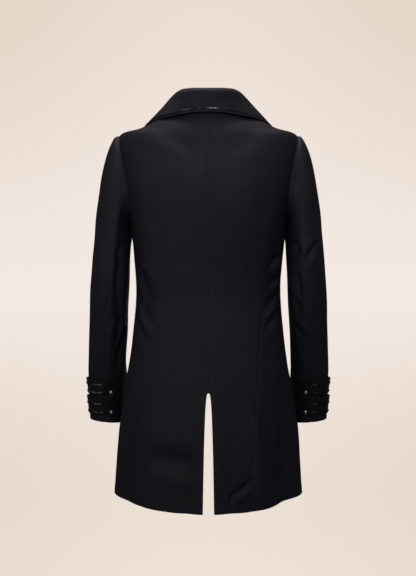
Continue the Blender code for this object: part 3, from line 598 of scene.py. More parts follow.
def drawn_in(sheet, first, last, bottom, top):
    """A sheet with its four edges drawn in by these distances. The points behind an edge give way along the
    grid, less and less over the next centimetre or so, and so keep their order."""
    reach = edge_distances(sheet)
    shares = {key: np.clip(1 - distance / DRAWN_OVER, 0, 1) for key, distance in reach.items()}
    across = shares["first"] * np.reshape(first, (-1, 1)) - shares["last"] * last
    up = shares["bottom"] * bottom - shares["top"] * top
    way_across, way_up = unit(np.gradient(sheet, axis=1)), unit(np.gradient(sheet, axis=0))
    return sheet + way_across * across[..., None] + way_up * up[..., None]


def in_place(made, node):
    """Puts an object on the one body, in its solid's place."""
    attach(made, "root")
    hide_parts(node)


class Shell:
    """A closed thin piece of cloth round a sheet of points, mirrored for the wearer's right side. Its outer
    layer lies half the thickness out and is moved by the relief and the press; its inner layer lies as far in
    and is moved by the relief alone. The border is rounded."""

    RIM = ((0.94, 0.50), (0.66, 0.94), (0.0, 1.0), (-0.66, 0.94), (-0.94, 0.50))

    def __init__(self, node, sheet, normal, side, relief, press, materials, thickness=CLOTH):
        rows, columns = sheet.shape[:2]
        sheet, normal = sheet * (side, 1, 1), normal * (side, 1, 1)
        self.node, self.normal = node, normal
        relief = np.zeros((rows, columns)) + relief
        self.outer = sheet + normal * (thickness / 2 + relief + press)[..., None]
        inner = sheet + normal * (relief - thickness / 2)[..., None]
        away = np.zeros_like(sheet)
        for at, beside in ((np.s_[:, 0], np.s_[:, 1]), (np.s_[:, -1], np.s_[:, -2]), (0, 1), (-1, -2)):
            away[at] += unit(sheet[at] - sheet[beside])
        index = np.arange(rows * columns).reshape(rows, columns)
        border = np.concatenate([index[0], index[1:, -1], index[-1, -2::-1], index[-2:0:-1, 0]])
        top, low = (layer.reshape(-1, 3)[border] for layer in (self.outer, inner))
        way = unit(away.reshape(-1, 3)[border])
        middle, half = (top + low) / 2, (top - low) / 2
        rims = [middle + half * up + way * thickness / 2 * out for up, out in self.RIM]
        count = rows * columns
        loops = [border] + [2 * count + k * len(border) + np.arange(len(border)) for k in range(len(rims))]
        loops.append(count + border)
        faces = grid_quads(rows, columns)
        cross = np.cross(sheet[1:, 1:] - sheet[:-1, 1:], sheet[1:, 1:] - sheet[1:, :-1])
        if np.sum(cross * normal[1:, 1:]) > 0:
            faces, loops = faces[:, ::-1], [np.append(loop[:1], loop[:0:-1]) for loop in loops]
        strips = [np.stack([np.roll(a, -1), a, b, np.roll(b, -1)], -1) for a, b in zip(loops, loops[1:])]
        quads = np.concatenate([faces, count + faces[:, ::-1]] + strips)
        lined = np.zeros(len(quads))
        lined[len(faces):2 * len(faces)] = len(materials) - 1
        distance = edge_distances(sheet)
        across, along = distance["first"], distance["bottom"][:, [columns // 2]]
        across = across - across[:, [columns // 2]]
        uv = np.stack(np.broadcast_arrays(across, along), -1).reshape(-1, 2)
        near = np.exp(-np.min(list(distance.values()), axis=0) / WEAR_REACH).ravel()
        points = np.concatenate([self.outer.reshape(-1, 3), inner.reshape(-1, 3)] + rims)
        uv = np.concatenate([uv, uv] + [uv[border]] * len(rims))
        edge = np.concatenate([near, near] + [np.ones(len(border))] * len(rims))
        self.object = mesh_object(f"{node}_cloth", points, quads, materials, uv, lined, edge)

    def line(self, edge, distance):
        """Points and normals on the outer layer at this distance from an edge, read along the grid."""
        outer, normal = self.outer, self.normal
        if edge in ("first", "last"):
            outer, normal = np.swapaxes(outer, 0, 1), np.swapaxes(normal, 0, 1)
        if edge in ("last", "top"):
            outer, normal = outer[::-1], normal[::-1]
        far = run_along(outer)
        low = np.argmax(far > distance, axis=0) - 1
        kept = np.arange(outer.shape[1])
        share = ((distance - far[low, kept]) / (far[low + 1, kept] - far[low, kept]))[:, None]
        points = outer[low, kept] * (1 - share) + outer[low + 1, kept] * share
        return points, unit(normal[low, kept] * (1 - share) + normal[low + 1, kept] * share)

    def lay(self, cut, area, lines=(), slot="coat_cloth", held="hung"):
        """Puts the cloth in its solid's place and sews its rows of stitches; its cut, area and hold are given
        but not used.
        """
        in_place(self.object, self.node)
        stitches = [add_stitches(f"{self.node}_stitching", lines)] if lines else []


STITCH_PITCH, STITCH_LENGTH, STITCH_RADIUS = 0.0036, 0.0026, 0.00030
STITCH_RINGS = ((-0.5, 0.35), (-0.36, 1.0), (0.36, 1.0), (0.5, 0.35))


def add_stitches(name, lines):
    """Rows of thread stitches along lines of points and normals: each stitch is a short six-sided rod with
    tapered ends, set along the line and half sunk in the cloth."""
    centres, ways, outs = [], [], []
    for points, normals in lines:
        run = run_along(points)
        at = np.arange(STITCH_PITCH, run[-1] - STITCH_PITCH / 2, STITCH_PITCH)
        half = STITCH_LENGTH / 2
        centres.append(read_along(at, run, points))
        ways.append(unit(read_along(at + half, run, points) - read_along(at - half, run, points)))
        outs.append(unit(read_along(at, run, normals)))
    centre, way, out = (np.concatenate(parts) for parts in (centres, ways, outs))
    aside = unit(np.cross(way, out))
    out = np.cross(aside, way)
    around = np.radians(np.arange(0, 360, 60))
    rings = np.array(STITCH_RINGS) * (STITCH_LENGTH, STITCH_RADIUS)
    shape = np.array([(x, r * math.cos(t), r * math.sin(t)) for x, r in rings for t in around])
    axes = np.stack([way, aside, out], 1)
    points = centre[:, None] + np.einsum("pk,skc->spc", shape, axes)
    one = grid_quads(len(rings), len(around), closed=True)
    caps = np.array([(3, 2, 1, 0), (5, 4, 3, 0)])
    one = np.concatenate([one, caps, (caps + len(shape) - len(around))[:, ::-1]])
    quads = (one[None] + np.arange(len(centre))[:, None, None] * len(shape)).reshape(-1, 4)
    made = mesh_object(name, points.reshape(-1, 3), quads, [sewing_thread.material])
    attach(made, "root")
    return made


twill = Finish("black_twill", {"Specular IOR Level": 0.28})
across, along = twill.across_and_along()
RIB, RIB_SLOPE, THREAD, TWILL_RISE = 0.0014, 0.8, 0.0007, 0.00016
TWILL_COLOURS = ((0.0130, 0.0110, 0.0184), (0.0200, 0.0170, 0.0280))
rib = (across * RIB_SLOPE + along).wave(RIB)
thread = along.wave(THREAD) * across.wave(THREAD)
mottle = twill.noise(24.0, 4.0) * 0.6 + twill.noise(230.0, 3.0) * 0.4
edge_wear = twill.node("ShaderNodeAttribute", {"attribute_name": "edge"})[2]
twill.feed("Base Color", twill.tint(mottle, *TWILL_COLOURS))
aslant = twill.node("ShaderNodeLayerWeight", None, {"Blend": 0.5})[1]
twill.feed("Roughness", 0.56 - mottle * 0.10 - edge_wear * 0.04 + aslant * aslant * 0.34)
twill.raise_surface(rib * 0.5 + thread * 0.3 + mottle * 0.8, TWILL_RISE)

LINING_COLOURS, LINING_RISE = ((0.0120, 0.0112, 0.0150), (0.0180, 0.0170, 0.0220)), 0.00008
lining = Finish("black_lining", {"Roughness": 0.42, "Specular IOR Level": 0.15})
along = lining.across_and_along()[1]
lining.feed("Base Color", lining.tint(lining.noise(18.0), *LINING_COLOURS))
lining.raise_surface(along.wave(THREAD) + lining.noise(60.0) * 2, LINING_RISE)

THREAD_COLOUR = (0.0130, 0.0120, 0.0160, 1)
sewing_thread = Finish("sewing_thread", {"Base Color": THREAD_COLOUR, "Specular IOR Level": 0.2})
sewing_thread.feed("Roughness", 0.48 + sewing_thread.noise(900.0) * 0.2)

back_heights = np.sort(np.concatenate([
    HEM + (NECK - HEM) * spaced(210, END_CROWDING),
    VENT_TOP - np.array(VENT_TOP_ROWS),
]))
drop = np.clip((VENT_TOP - back_heights) / (VENT_TOP - HEM), 0, 1)
vent_reach = np.maximum(VENT_HALF_GAP * drop**VENT_ROUNDING, 0.00002)
vent_edge = angle_at(vent_reach, back_heights, low=0, high=40)
full = np.linspace(0, 1, 121)
arm_angles, arm_heights = armhole(SIDE_BACK_TURN * (1 - full))
back_outer = joined(side_back_seam(full, full), (arm_angles, arm_heights), shoulder_seam(full))
back_outer = matched((vent_edge, back_heights), back_outer)
back_angles, back_rings = ruled((vent_edge, back_heights), back_outer, spaced(54))
centre_inset = np.where(back_heights < VENT_TOP, CLOTH / 2, SEAM_INSET)
back_sheet = drawn_in(form(back_angles, back_rings), centre_inset, SEAM_INSET, CLOTH / 2, 0)
back_normal = outward(form, back_angles, back_rings)
cloths = [twill.material, lining.material]


def unrolled(rows, columns, radius, middle=0):
    """Table rows whose angles, in these columns, become metres round a tube from a middle angle."""
    rows = np.array(rows, float)
    rows[:, columns] = np.radians(rows[:, columns] - middle) * radius
    return rows


def body_relief(side, angle, z):
    """Creases and unevenness of the body's cloth on one side, over angle times radius and over height."""
    u = np.radians(side * angle) * BODY_RADIUS
    relief = crease_relief(unrolled(BODY_CREASES, [0, 2], BODY_RADIUS), u, z)
    relief = relief + swell_relief(unrolled(BODY_SWELLS, [0], BODY_RADIUS), u, z)
    return relief + sum(unevenness(u, z, *waves) for waves in BODY_WAVES)


away_from = edge_distances(back_sheet)
run = away_from["bottom"]
facing = ease((VENT_TOP - back_heights[:, None]) / VENT_FACING_FROM)
for name, side in SIDES.items():
    press = sewn(away_from["last"], run) * SIDE_BACK_PRESS[name] + turned(run, HEM_TURN)
    press = press + sewn(away_from["top"], 0) + sewn(away_from["first"], run) * (1 - facing)
    press = press + turned(away_from["first"], VENT_TURN) * facing / 2
    relief = body_relief(side, back_angles, back_sheet[..., 2])
    back = Shell(f"back_{name}", back_sheet, back_normal, side, relief, press, cloths)
    hem_line, vent_line = back.line("bottom", HEM_TURN), back.line("first", VENT_TURN)
    vent_line = tuple(part[back_heights < VENT_TOP - VENT_FACING_FROM / 2] for part in vent_line)
    back.lay(BACK_CUT, BACK_AREA, [hem_line, vent_line])

# The side bodies are narrow panels of the same twill between the side back seams and the side seams. Each one
# narrows to a tip where the armhole cuts in.
SIDE_SEAM_ANGLE, SIDE_BODY_TIP = 98, 67
SIDE_BODY_CUT, SIDE_BODY_AREA = (0.216, 0.816), 0.1089


def side_seam(shares):
    """Angle and ring of the side seam from the hem to the armhole: the angle bends as the share's cube."""
    end_angle, end_height = armhole(SIDE_SEAM_TURN)
    return SIDE_SEAM_ANGLE + (end_angle - SIDE_SEAM_ANGLE) * shares**3, HEM + (end_height - HEM) * shares


low, high = spaced(150, END_CROWDING), spaced(48, 0.3)
loop = armhole(SIDE_SEAM_TURN + (SIDE_BODY_TIP - SIDE_SEAM_TURN) * high)
side_angles, side_rings = ruled(side_back_seam(low, high), joined(side_seam(low), loop), spaced(32))
side_sheet = drawn_in(form(side_angles, side_rings), SEAM_INSET, SEAM_INSET, CLOTH / 2, 0)
side_normal = outward(form, side_angles, side_rings)
away_from = edge_distances(side_sheet)
run = away_from["bottom"]
for name, side in SIDES.items():
    press = sewn(away_from["first"], run) * SIDE_BACK_PRESS[name]
    press = press + sewn(away_from["last"], run) + turned(run, HEM_TURN)
    relief = body_relief(side, side_angles, side_sheet[..., 2])
    body = Shell(f"side_body_{name}", side_sheet, side_normal, side, relief, press, cloths)
    body.lay(SIDE_BODY_CUT, SIDE_BODY_AREA, [body.line("bottom", HEM_TURN)])

# The fronts meet down to the last button, the left one over the right, and are cut away below it. Their free
# edges are faced and stitched close to the edge.
BREAK_POINT, LAST_BUTTON = -0.275, -0.450
FRONT_LAP, FRONT_CUTAWAY, CUTAWAY_CURVE = 0.020, 0.100, 1.7
LIFTS = {"left": 0.0052, "right": -0.0014}
LIFT_FROM, LIFT_FULL, LAPPED_ABOVE, EDGE_STITCH_FADE, STITCHED_BELOW = 140, 168, 0.42, 0.02, 0.004
ROLL_LINE = ((BREAK_POINT, -FRONT_LAP), (-0.160, 0.0250), (-0.070, 0.0540), (-0.025, 0.0620), (NECK, 0.0585))
FRONT_CUT, FRONT_AREA = (0.268, 0.968), 0.1970


def front_edge(heights):
    """Angle of the front's free edge: the lap, the cutaway below it as a power of the drop, and the lapel's
    roll line above it."""
    drop = np.clip((LAST_BUTTON - heights) / (LAST_BUTTON - HEM), 0, 1)
    x = columns_at(heights, ROLL_LINE)[0] + (FRONT_CUTAWAY + FRONT_LAP) * drop**CUTAWAY_CURVE
    return angle_at(x, heights, low=100, high=200)


def front_lift(angles, lift):
    """How far a front stands out of the form near its free edge, so that the left one laps over the right."""
    return lift * ease((angles - LIFT_FROM) / (LIFT_FULL - LIFT_FROM))


front_heights = HEM + (NECK - HEM) * spaced(215, END_CROWDING)
loop = armhole(SIDE_SEAM_TURN + (360 - SIDE_SEAM_TURN) * full)
front_outer = joined(side_seam(full), loop, shoulder_seam(full))
front_inner = (front_edge(front_heights), front_heights)
front_outer = matched(front_inner, front_outer)
front_angles, front_rings = ruled(front_outer, front_inner, spaced(60))
front_normal = outward(form, front_angles, front_rings)
for name, side in SIDES.items():
    sheet = form(front_angles, front_rings) + front_normal * front_lift(front_angles, LIFTS[name])[..., None]
    sheet = drawn_in(sheet, SEAM_INSET, CLOTH / 2, CLOTH / 2, 0)
    away_from = edge_distances(sheet)
    run = away_from["bottom"]
    press = sewn(away_from["first"], run) + turned(run, HEM_TURN)
    below_roll = ease((BREAK_POINT - front_heights[:, None]) / EDGE_STITCH_FADE)
    press = press + turned(away_from["last"], EDGE_STITCH) * below_roll
    relief = body_relief(side, front_angles, sheet[..., 2])
    if name == "right":  # it lies flat where the left one laps over it
        relief = relief * (1 - front_lift(front_angles, 1) * (run > LAPPED_ABOVE))
    front = Shell(f"front_{name}", sheet, front_normal, side, relief, press, cloths)
    hem_line, edge_line = front.line("bottom", HEM_TURN), front.line("last", EDGE_STITCH)
    edge_line = tuple(part[front_heights < BREAK_POINT - STITCHED_BELOW] for part in edge_line)
    front.lay(FRONT_CUT, FRONT_AREA, [hem_line, edge_line])

# The lapels are the fronts' turned-back upper parts. Each curls round its roll line, lies over the chest and
# ends in a peak at the shoulder, with the collar's end above it.
LAPEL_EDGE = ((-0.006, -0.268), (0.040, -0.236), (0.093, -0.182), (0.128, -0.108))
LAPEL_TOP = ((0.0610, -0.006), (0.0800, -0.044), (0.0960, -0.082), (0.128, -0.108))
LAPEL_CURL = ((0.0021, 0.0000), (0.0020, 0.0017), (0.0006, 0.0033), (-0.0025, 0.0037))
LAPEL_LIFT, LAPEL_FULLNESS = 0.0037, 0.0020
LAPEL_WAVES = (11, 0.07, 0.0004)
LAPEL_CUT, LAPEL_AREA = (0.103, 0.245), 0.0153


def lapel_border(shares, points):
    """Angles and rings at shares of a smooth curve through points of reach from the centre plane and ring."""
    curve = smooth(shares, np.linspace(0, 1, len(points)), points)
    curve[:, 0] = angle_at(curve[:, 0], curve[:, 1], low=95, high=200)
    return curve


up = spaced(72, 0.3)
lapel_heights = np.minimum(BREAK_POINT + (LAPEL_TOP[0][1] - BREAK_POINT) * up, LAPEL_TOP[0][1])
roll = front_edge(lapel_heights)
reach = np.linalg.norm(form(roll, lapel_heights)[:, :2], axis=1)
curl = smooth(np.linspace(0, 3, 8), np.arange(4), LAPEL_CURL)
flat_shares = spaced(30, 0.5)[1:]
edge, top = lapel_border(up, LAPEL_EDGE), lapel_border(flat_shares, LAPEL_TOP)
lapel_angles = [roll + np.degrees(past / reach) for past, _ in curl]
lapel_rings = [lapel_heights for _ in curl]
lapel_lifts = [np.full(up.shape, lift) for _, lift in curl]
foot = lapel_angles[-1]
for s, (top_angle, top_ring) in zip(flat_shares, top):
    straight_angle, straight_ring = foot * (1 - s) + edge[:, 0] * s, lapel_heights * (1 - s) + edge[:, 1] * s
    lapel_angles.append(straight_angle + up**3 * (top_angle - straight_angle[-1]))
    lapel_rings.append(straight_ring + up**3 * (top_ring - straight_ring[-1]))
    lapel_lifts.append(LAPEL_LIFT + LAPEL_FULLNESS * math.sin(math.pi * s) ** 2 * ease(3 * up - 1))
lapel_angles, lapel_rings, lapel_lifts = (np.stack(v, 1) for v in (lapel_angles, lapel_rings, lapel_lifts))
for name, side in SIDES.items():
    lift = lapel_lifts + front_lift(lapel_angles, LIFTS[name])
    sheet = drawn_in(moved_out(form, lapel_angles, lapel_rings, lift), 0, CLOTH / 2, 0, CLOTH / 2)
    normal = unit(np.cross(np.gradient(sheet, axis=1), np.gradient(sheet, axis=0)))
    away_from = edge_distances(sheet)
    press = turned(away_from["last"], EDGE_STITCH) + turned(away_from["top"], EDGE_STITCH)
    relief = unevenness(sheet[..., 0] * side, sheet[..., 2], *LAPEL_WAVES)
    lapel = Shell(f"lapel_{name}", sheet, normal, side, relief, press, [twill.material])
    lapel.lay(LAPEL_CUT, LAPEL_AREA, [lapel.line("last", EDGE_STITCH)])

# Each sleeve is a top sleeve and an under sleeve, sewn together down the elbow and down the front. The cap is
# eased into the armhole, so it stands up there in a soft roll.
SLEEVE_RINGS = (
    # height, axis_x, axis_y, half_width, half_depth
    (-0.29, 0.2265, 0.002, 0.0418, 0.068),
    (-0.33, 0.2287, 0.003, 0.043, 0.066),
    (-0.397, 0.2325, 0.003, 0.0446, 0.0625),
    (-0.444, 0.2352, -0.003, 0.0448, 0.06),
    (-0.492, 0.238, -0.012, 0.0444, 0.0575),
    (-0.563, 0.242, -0.028, 0.0442, 0.0535),
    (-0.611, 0.2445, -0.039, 0.0438, 0.051),
    (-0.67, 0.246, -0.051, 0.042, 0.0485),
    (-0.7368, 0.2458, -0.06, 0.0408, 0.046),
)
SLEEVE_HEM_TILT, SLEEVE_TILT_FROM = 0.004, -0.718
SLEEVE_TOP, SLEEVE_HEM = SLEEVE_RINGS[0][0], SLEEVE_RINGS[-1][0]
CAP_OUT, CAP_OUT_MORE_BELOW, CAP_SPREAD, CAP_SINK, CAP_BULGE = 0.40, 0.50, 0.25, 0.25, 0.08
CAP_START, CAP_TUCK, CAP_CROWDING, TUBE_CROWDING, CAP_SEAM, CAP_SEAM_TO = 0.30, 0.15, 1.35, 1.1, 0.05, 0.10
SLEEVE_RADIUS, SLEEVE_HEM_TURN, SLEEVE_SEED, SLEEVE_WAVES = 0.055, 0.0120, 21, (0.09, 0.0005)
HEAD_FLAT, HEAD_PINCH_REACH = 0.016, 0.020
HEAD_ROLL, HEAD_ROLL_AT, HEAD_ROLL_WIDE, HEAD_PINCH, HEAD_PINCHES = 0.0016, 0.010, 0.008, 0.35, 21
STRAPPED_TURN, STRAPPED_FADE, STRAPPED_FROM, STRAPPED_RISE = 128, 14, -0.640, 0.030

# Creases of each sleeve: the turns and heights of both ends, the bow, the half width and the depth.
SLEEVE_CREASES = {
    "left": (
        (136, -0.312, 112, -0.356, 0.004, 0.0066, -0.0062),
        (128, -0.34, 122, -0.45, 0.004, 0.0078, -0.006),
        (118, -0.44, 142, -0.48, -0.003, 0.0062, -0.0056),
        (114, -0.474, 127, -0.52, 0.003, 0.0066, 0.003),
        (146, -0.47, 131, -0.548, 0.003, 0.0066, -0.0044),
        (172, -0.49, 128, -0.616, 0.006, 0.0064, -0.0066),
        (180, -0.556, 148, -0.628, 0.003, 0.006, -0.0036),
        (76, -0.32, 84, -0.6, 0.004, 0.0055, -0.0014),
        (62, -0.3, 70, -0.56, -0.004, 0.007, 0.0014),
        (40, -0.35, 52, -0.6, 0.005, 0.009, -0.0014),
        (98, -0.38, 104, -0.6, 0.003, 0.005, -0.0014),
        (28, -0.18, 46, -0.29, 0.006, 0.011, -0.0022),
        (70, -0.21, 66, -0.33, 0.005, 0.009, -0.002),
        (112, -0.215, 122, -0.3, 0.004, 0.008, 0.0024),
        (-152, -0.402, -98, -0.436, 0.004, 0.0075, -0.0058),
        (-148, -0.45, -84, -0.47, -0.003, 0.007, -0.0056),
        (-140, -0.505, -96, -0.522, 0.003, 0.007, -0.0044),
        (-60, -0.4, -20, -0.44, 0.004, 0.008, -0.0026),
        (-70, -0.3, -40, -0.4, 0.004, 0.009, -0.0024),
    ),
    "right": (
        (140, -0.305, 112, -0.345, 0.004, 0.0072, -0.005),
        (99, -0.356, 52, -0.304, 0.003, 0.0062, -0.0056),
        (92, -0.374, 50, -0.33, 0.003, 0.0062, 0.0024),
        (128, -0.38, 119, -0.46, 0.003, 0.0076, -0.0046),
        (154, -0.432, 122, -0.474, 0.003, 0.0062, -0.0042),
        (154, -0.5, 106, -0.538, 0.003, 0.0066, -0.0048),
        (162, -0.536, 134, -0.608, 0.004, 0.0066, -0.0046),
        (78, -0.39, 86, -0.61, 0.003, 0.0055, -0.0014),
        (66, -0.36, 74, -0.59, -0.003, 0.0065, 0.0014),
        (46, -0.32, 58, -0.6, 0.004, 0.009, -0.0016),
        (100, -0.38, 106, -0.6, 0.003, 0.005, -0.0014),
        (30, -0.19, 44, -0.28, 0.005, 0.011, -0.0022),
        (68, -0.2, 70, -0.31, 0.005, 0.009, -0.002),
        (-150, -0.41, -94, -0.428, 0.004, 0.0075, -0.0056),
        (-145, -0.455, -90, -0.486, -0.003, 0.007, -0.0058),
        (-138, -0.52, -100, -0.53, 0.003, 0.007, -0.0042),
        (-64, -0.43, -24, -0.462, 0.004, 0.008, -0.0026),
        (-66, -0.29, -42, -0.39, 0.004, 0.009, -0.0024),
    ),
}
# Swells and hollows of each sleeve: turn, height, half width, half length and depth.
SLEEVE_SWELLS = {
    "left": (
        (192, -0.279, 0.02, 0.028, 0.0036),
        (194, -0.63, 0.018, 0.026, 0.0044),
        (103, -0.45, 0.008, 0.16, 0.0022),
        (128, -0.43, 0.014, 0.15, -0.008),
        (0, -0.38, 0.022, 0.03, -0.0026),
    ),
    "right": (
        (192, -0.279, 0.02, 0.028, 0.0036),
        (194, -0.64, 0.018, 0.022, 0.0036),
        (103, -0.45, 0.008, 0.14, 0.0016),
        (128, -0.45, 0.013, 0.14, -0.0036),
    ),
}
TOP_SLEEVE_CUT, TOP_SLEEVE_AREA = (0.330, 0.692), 0.1274
UNDER_SLEEVE_CUT, UNDER_SLEEVE_AREA = (0.240, 0.489), 0.0755


def sleeve(turn, height):
    """The left sleeve's tube at a turn round the arm (0 outside, 90 at the back, 180 at the body): an ellipse
    whose middle and half axes come from the rings, with a tilted hem."""
    turn, height = grids(turn, height)
    axis_x, axis_y, half_width, half_depth = columns_at(height, SLEEVE_RINGS[::-1])
    along, across = sine_and_cosine(turn)
    near_hem = ease((SLEEVE_TILT_FROM - height) / (SLEEVE_TILT_FROM - SLEEVE_HEM))
    z = height + SLEEVE_HEM_TILT * across * near_hem
    return np.stack([axis_x + half_width * across, axis_y + half_depth * along, z], -1)


def sleeve_rows(turns, cap_shares, tube_shares):
    """The sleeve from the armhole to its hem. At each turn the cap is a cubic from the armhole's edge to the
    tube, which it joins going straight down."""
    angle, height = armhole(turns)
    border = form(angle, height)
    back, up = sine_and_cosine(turns)
    low = (1 - up) / 2
    end = sleeve(turns, SLEEVE_TOP)
    drop = np.linalg.norm(end - border, axis=-1)
    sideways = CAP_OUT + CAP_OUT_MORE_BELOW * low
    leaving = np.stack([sideways, CAP_SPREAD * back, -CAP_SINK * low], -1)
    bend = np.clip(np.sum(unit(leaving) * outward(form, angle, height), -1), 0, 1)
    start = border + unit(leaving) * (CLOTH * (CAP_START * bend - CAP_TUCK))[:, None]
    arriving = np.stack([CAP_BULGE * drop * up, 0 * drop, -drop], -1)
    cap = cubic(cap_shares[:-1, None, None], start, end, leaving * drop[:, None], arriving)
    tube = sleeve(turns[None], SLEEVE_TOP + (SLEEVE_HEM - SLEEVE_TOP) * tube_shares[:, None])
    return np.concatenate([cap, tube])


cap_shares = np.linspace(0, 1, 45) ** CAP_CROWDING
tube_shares = 1 - (1 - np.linspace(0, 1, 111)) ** TUBE_CROWDING
sleeve_pieces = (
    # node, first turn, last turn, columns, cut, area
    ("top_sleeve", FRONT_ARM_TURN - 360, BACK_ARM_TURN, 54, TOP_SLEEVE_CUT, TOP_SLEEVE_AREA),
    ("under_sleeve", BACK_ARM_TURN, FRONT_ARM_TURN, 40, UNDER_SLEEVE_CUT, UNDER_SLEEVE_AREA),
)
for node, first, last, columns, cut, area in sleeve_pieces:
    turns = first + (last - first) * spaced(columns, 0.6)
    before, bare, after = (sleeve_rows(turns + step, cap_shares, tube_shares) for step in (-0.5, 0, 0.5))
    normal = unit(np.cross(np.gradient(bare, axis=0), after - before))
    sheet = drawn_in(bare, SEAM_INSET, SEAM_INSET, 0, CLOTH / 2)
    away_from = edge_distances(sheet)
    run, from_head, z = away_from["top"], away_from["bottom"], sheet[..., 2]
    below_cap = CAP_SEAM + (1 - CAP_SEAM) * ease(from_head / CAP_SEAM_TO - 1)
    press = (sewn(away_from["first"], run) + sewn(away_from["last"], run)) * below_cap
    press = press + turned(run, SLEEVE_HEM_TURN) - SEAM_DEPTH * bell(from_head, SEAM_WIDTH)
    u = np.radians((turns - BACK_ARM_TURN + 180) % 360 - 180)[None] * SLEEVE_RADIUS
    strapped = ease((STRAPPED_TURN - np.abs((turns + 180) % 360 - 180)) / STRAPPED_FADE)
    kept = ease(from_head / HEAD_FLAT) * (1 - strapped * (1 - ease((z - STRAPPED_FROM) / STRAPPED_RISE)))
    outer_side = np.clip(np.cos(np.radians(turns)), 0, 1)
    head = HEAD_ROLL * bell(from_head - HEAD_ROLL_AT, HEAD_ROLL_WIDE) * outer_side
    for name, side in SIDES.items():
        creases = unrolled(SLEEVE_CREASES[name], [0, 2], SLEEVE_RADIUS, BACK_ARM_TURN)
        once_round = 2 * math.pi * SLEEVE_RADIUS * np.array([1, 0, 1, 0, 0, 0, 0])
        relief = crease_relief(np.concatenate([creases, creases + once_round]), u, z)
        relief = relief + swell_relief(unrolled(SLEEVE_SWELLS[name], [0], SLEEVE_RADIUS, BACK_ARM_TURN), u, z)
        relief = (relief + unevenness(u, z, SLEEVE_SEED + side, *SLEEVE_WAVES)) * kept
        pinch = HEAD_PINCH * np.sin(np.radians(turns) * HEAD_PINCHES + side)
        relief = relief + head * (1 + pinch * np.exp(-from_head / HEAD_PINCH_REACH))
        piece = Shell(f"{node}_{name}", sheet, normal, side, relief, press, cloths)
        piece.lay(cut, area, [piece.line("top", SLEEVE_HEM_TURN)])

# The collar is a stand round the neck and a wide fall that rolls over it and lies on the shoulders. The
# fall's edge is turned and stitched.
COLLAR = (
    # angle, roll_reach, roll_z, edge_ring, edge_lift
    (0, 0.0735, 0.0425, -0.0175, 0.0075),
    (30, 0.073, 0.0445, -0.019, 0.0075),
    (60, 0.069, 0.0475, -0.029, 0.007),
    (75, 0.0675, 0.0475, -0.0365, 0.006),
    (90, 0.067, 0.0455, -0.0425, 0.0045),
    (105, 0.071, 0.031, -0.058, 0.0045),
    (117, 0.0755, 0.004, -0.07, 0.0045),
    (125.5, 0.0775, -0.016, -0.065, 0.0045),
)
ROLL_OVER, ROLL_DROP, FALL_FULLNESS = 0.0105, 0.0045, 0.0010
COLLAR_KNOTS = (0, 0.16, 0.32, 0.42, 0.70, 1)
STAND_LEAN, STAND_RISE, STAND_SHARE = 0.40, 0.55, 0.27
COLLAR_ADVANCE, COLLAR_ADVANCE_FROM, COLLAR_START = 7.5, 88, 0.0020
COLLAR_STITCH, FALL_RADIUS, FALL_FLAT, FALL_CROWDING = 0.0035, 0.09, 0.03, 1.15
FALL_WAVES = (31, 0.08, 0.0005)
FALL_CUT, FALL_AREA = (0.498, 0.120), 0.0464
STAND_CUT, STAND_AREA = (0.346, 0.046), 0.0119


def collar_points(angles, shares):
    """The collar's curve at each angle round the neck, at shares of its run: up the stand, over the roll and
    down the fall to its edge, as a smooth curve through six points."""
    left = np.array(COLLAR)
    both = np.concatenate([left[:0:-1] * (-1, 1, 1, 1, 1), left])
    roll_reach, roll_z, edge_ring, lift = columns_at(angles, both)
    out = np.stack([*sine_and_cosine(angles), 0 * angles], -1)
    up = np.array([0, 0, 1.0])
    neck = form(angles, NECK)
    past = (np.abs(angles) - COLLAR_ADVANCE_FROM) / (left[-1, 0] - COLLAR_ADVANCE_FROM)
    edge = moved_out(form, angles + np.sign(angles) * COLLAR_ADVANCE * ease(past), edge_ring, lift)
    roll = out * roll_reach[:, None] + up * roll_z[:, None]
    stand = neck + (roll - neck) * np.array([STAND_LEAN, STAND_LEAN, STAND_RISE])
    over = roll + out * ROLL_OVER - up * ROLL_DROP
    fall = (over + edge) / 2 + out * FALL_FULLNESS
    sections = np.stack([neck, stand, roll, over, fall, edge], 1)
    return np.stack([smooth(shares, COLLAR_KNOTS, section) for section in sections])


end = COLLAR[-1][0]
collar_angles = -end + 2 * end * spaced(150, END_CROWDING)
stand_shares = STAND_SHARE * np.linspace(0, 1, 15)
fall_shares = STAND_SHARE + (1 - STAND_SHARE) * (1 - (1 - np.linspace(0, 1, 45)) ** FALL_CROWDING)
collar_sheet = collar_points(collar_angles, np.concatenate([stand_shares, fall_shares[1:]]))
collar_normal = unit(np.cross(np.gradient(collar_sheet, axis=0), np.gradient(collar_sheet, axis=1)))
split = len(stand_shares)

sheet = drawn_in(collar_sheet[:, :split], COLLAR_START - CLOTH / 2, SEAM_INSET, CLOTH / 2, CLOTH / 2)
away_from = edge_distances(sheet)
press = sewn(away_from["last"], away_from["bottom"])
stand = Shell("collar_stand", sheet, collar_normal[:, :split], 1, 0, press, [twill.material])
stand.lay(STAND_CUT, STAND_AREA)

sheet = drawn_in(collar_sheet[:, split - 1:], SEAM_INSET, CLOTH / 2, CLOTH / 2, CLOTH / 2)
away_from = edge_distances(sheet)
outer_edges = ("last", "bottom", "top")
press = sum(turned(away_from[key], COLLAR_STITCH) for key in outer_edges)
relief = unevenness(np.radians(collar_angles)[:, None] * FALL_RADIUS, away_from["first"], *FALL_WAVES)
relief = relief * ease(away_from["first"] / FALL_FLAT)
fall = Shell("collar_fall", sheet, collar_normal[:, split - 1:], 1, relief, press, [twill.material])
fall.lay(FALL_CUT, FALL_AREA, [fall.line(key, COLLAR_STITCH) for key in outer_edges])

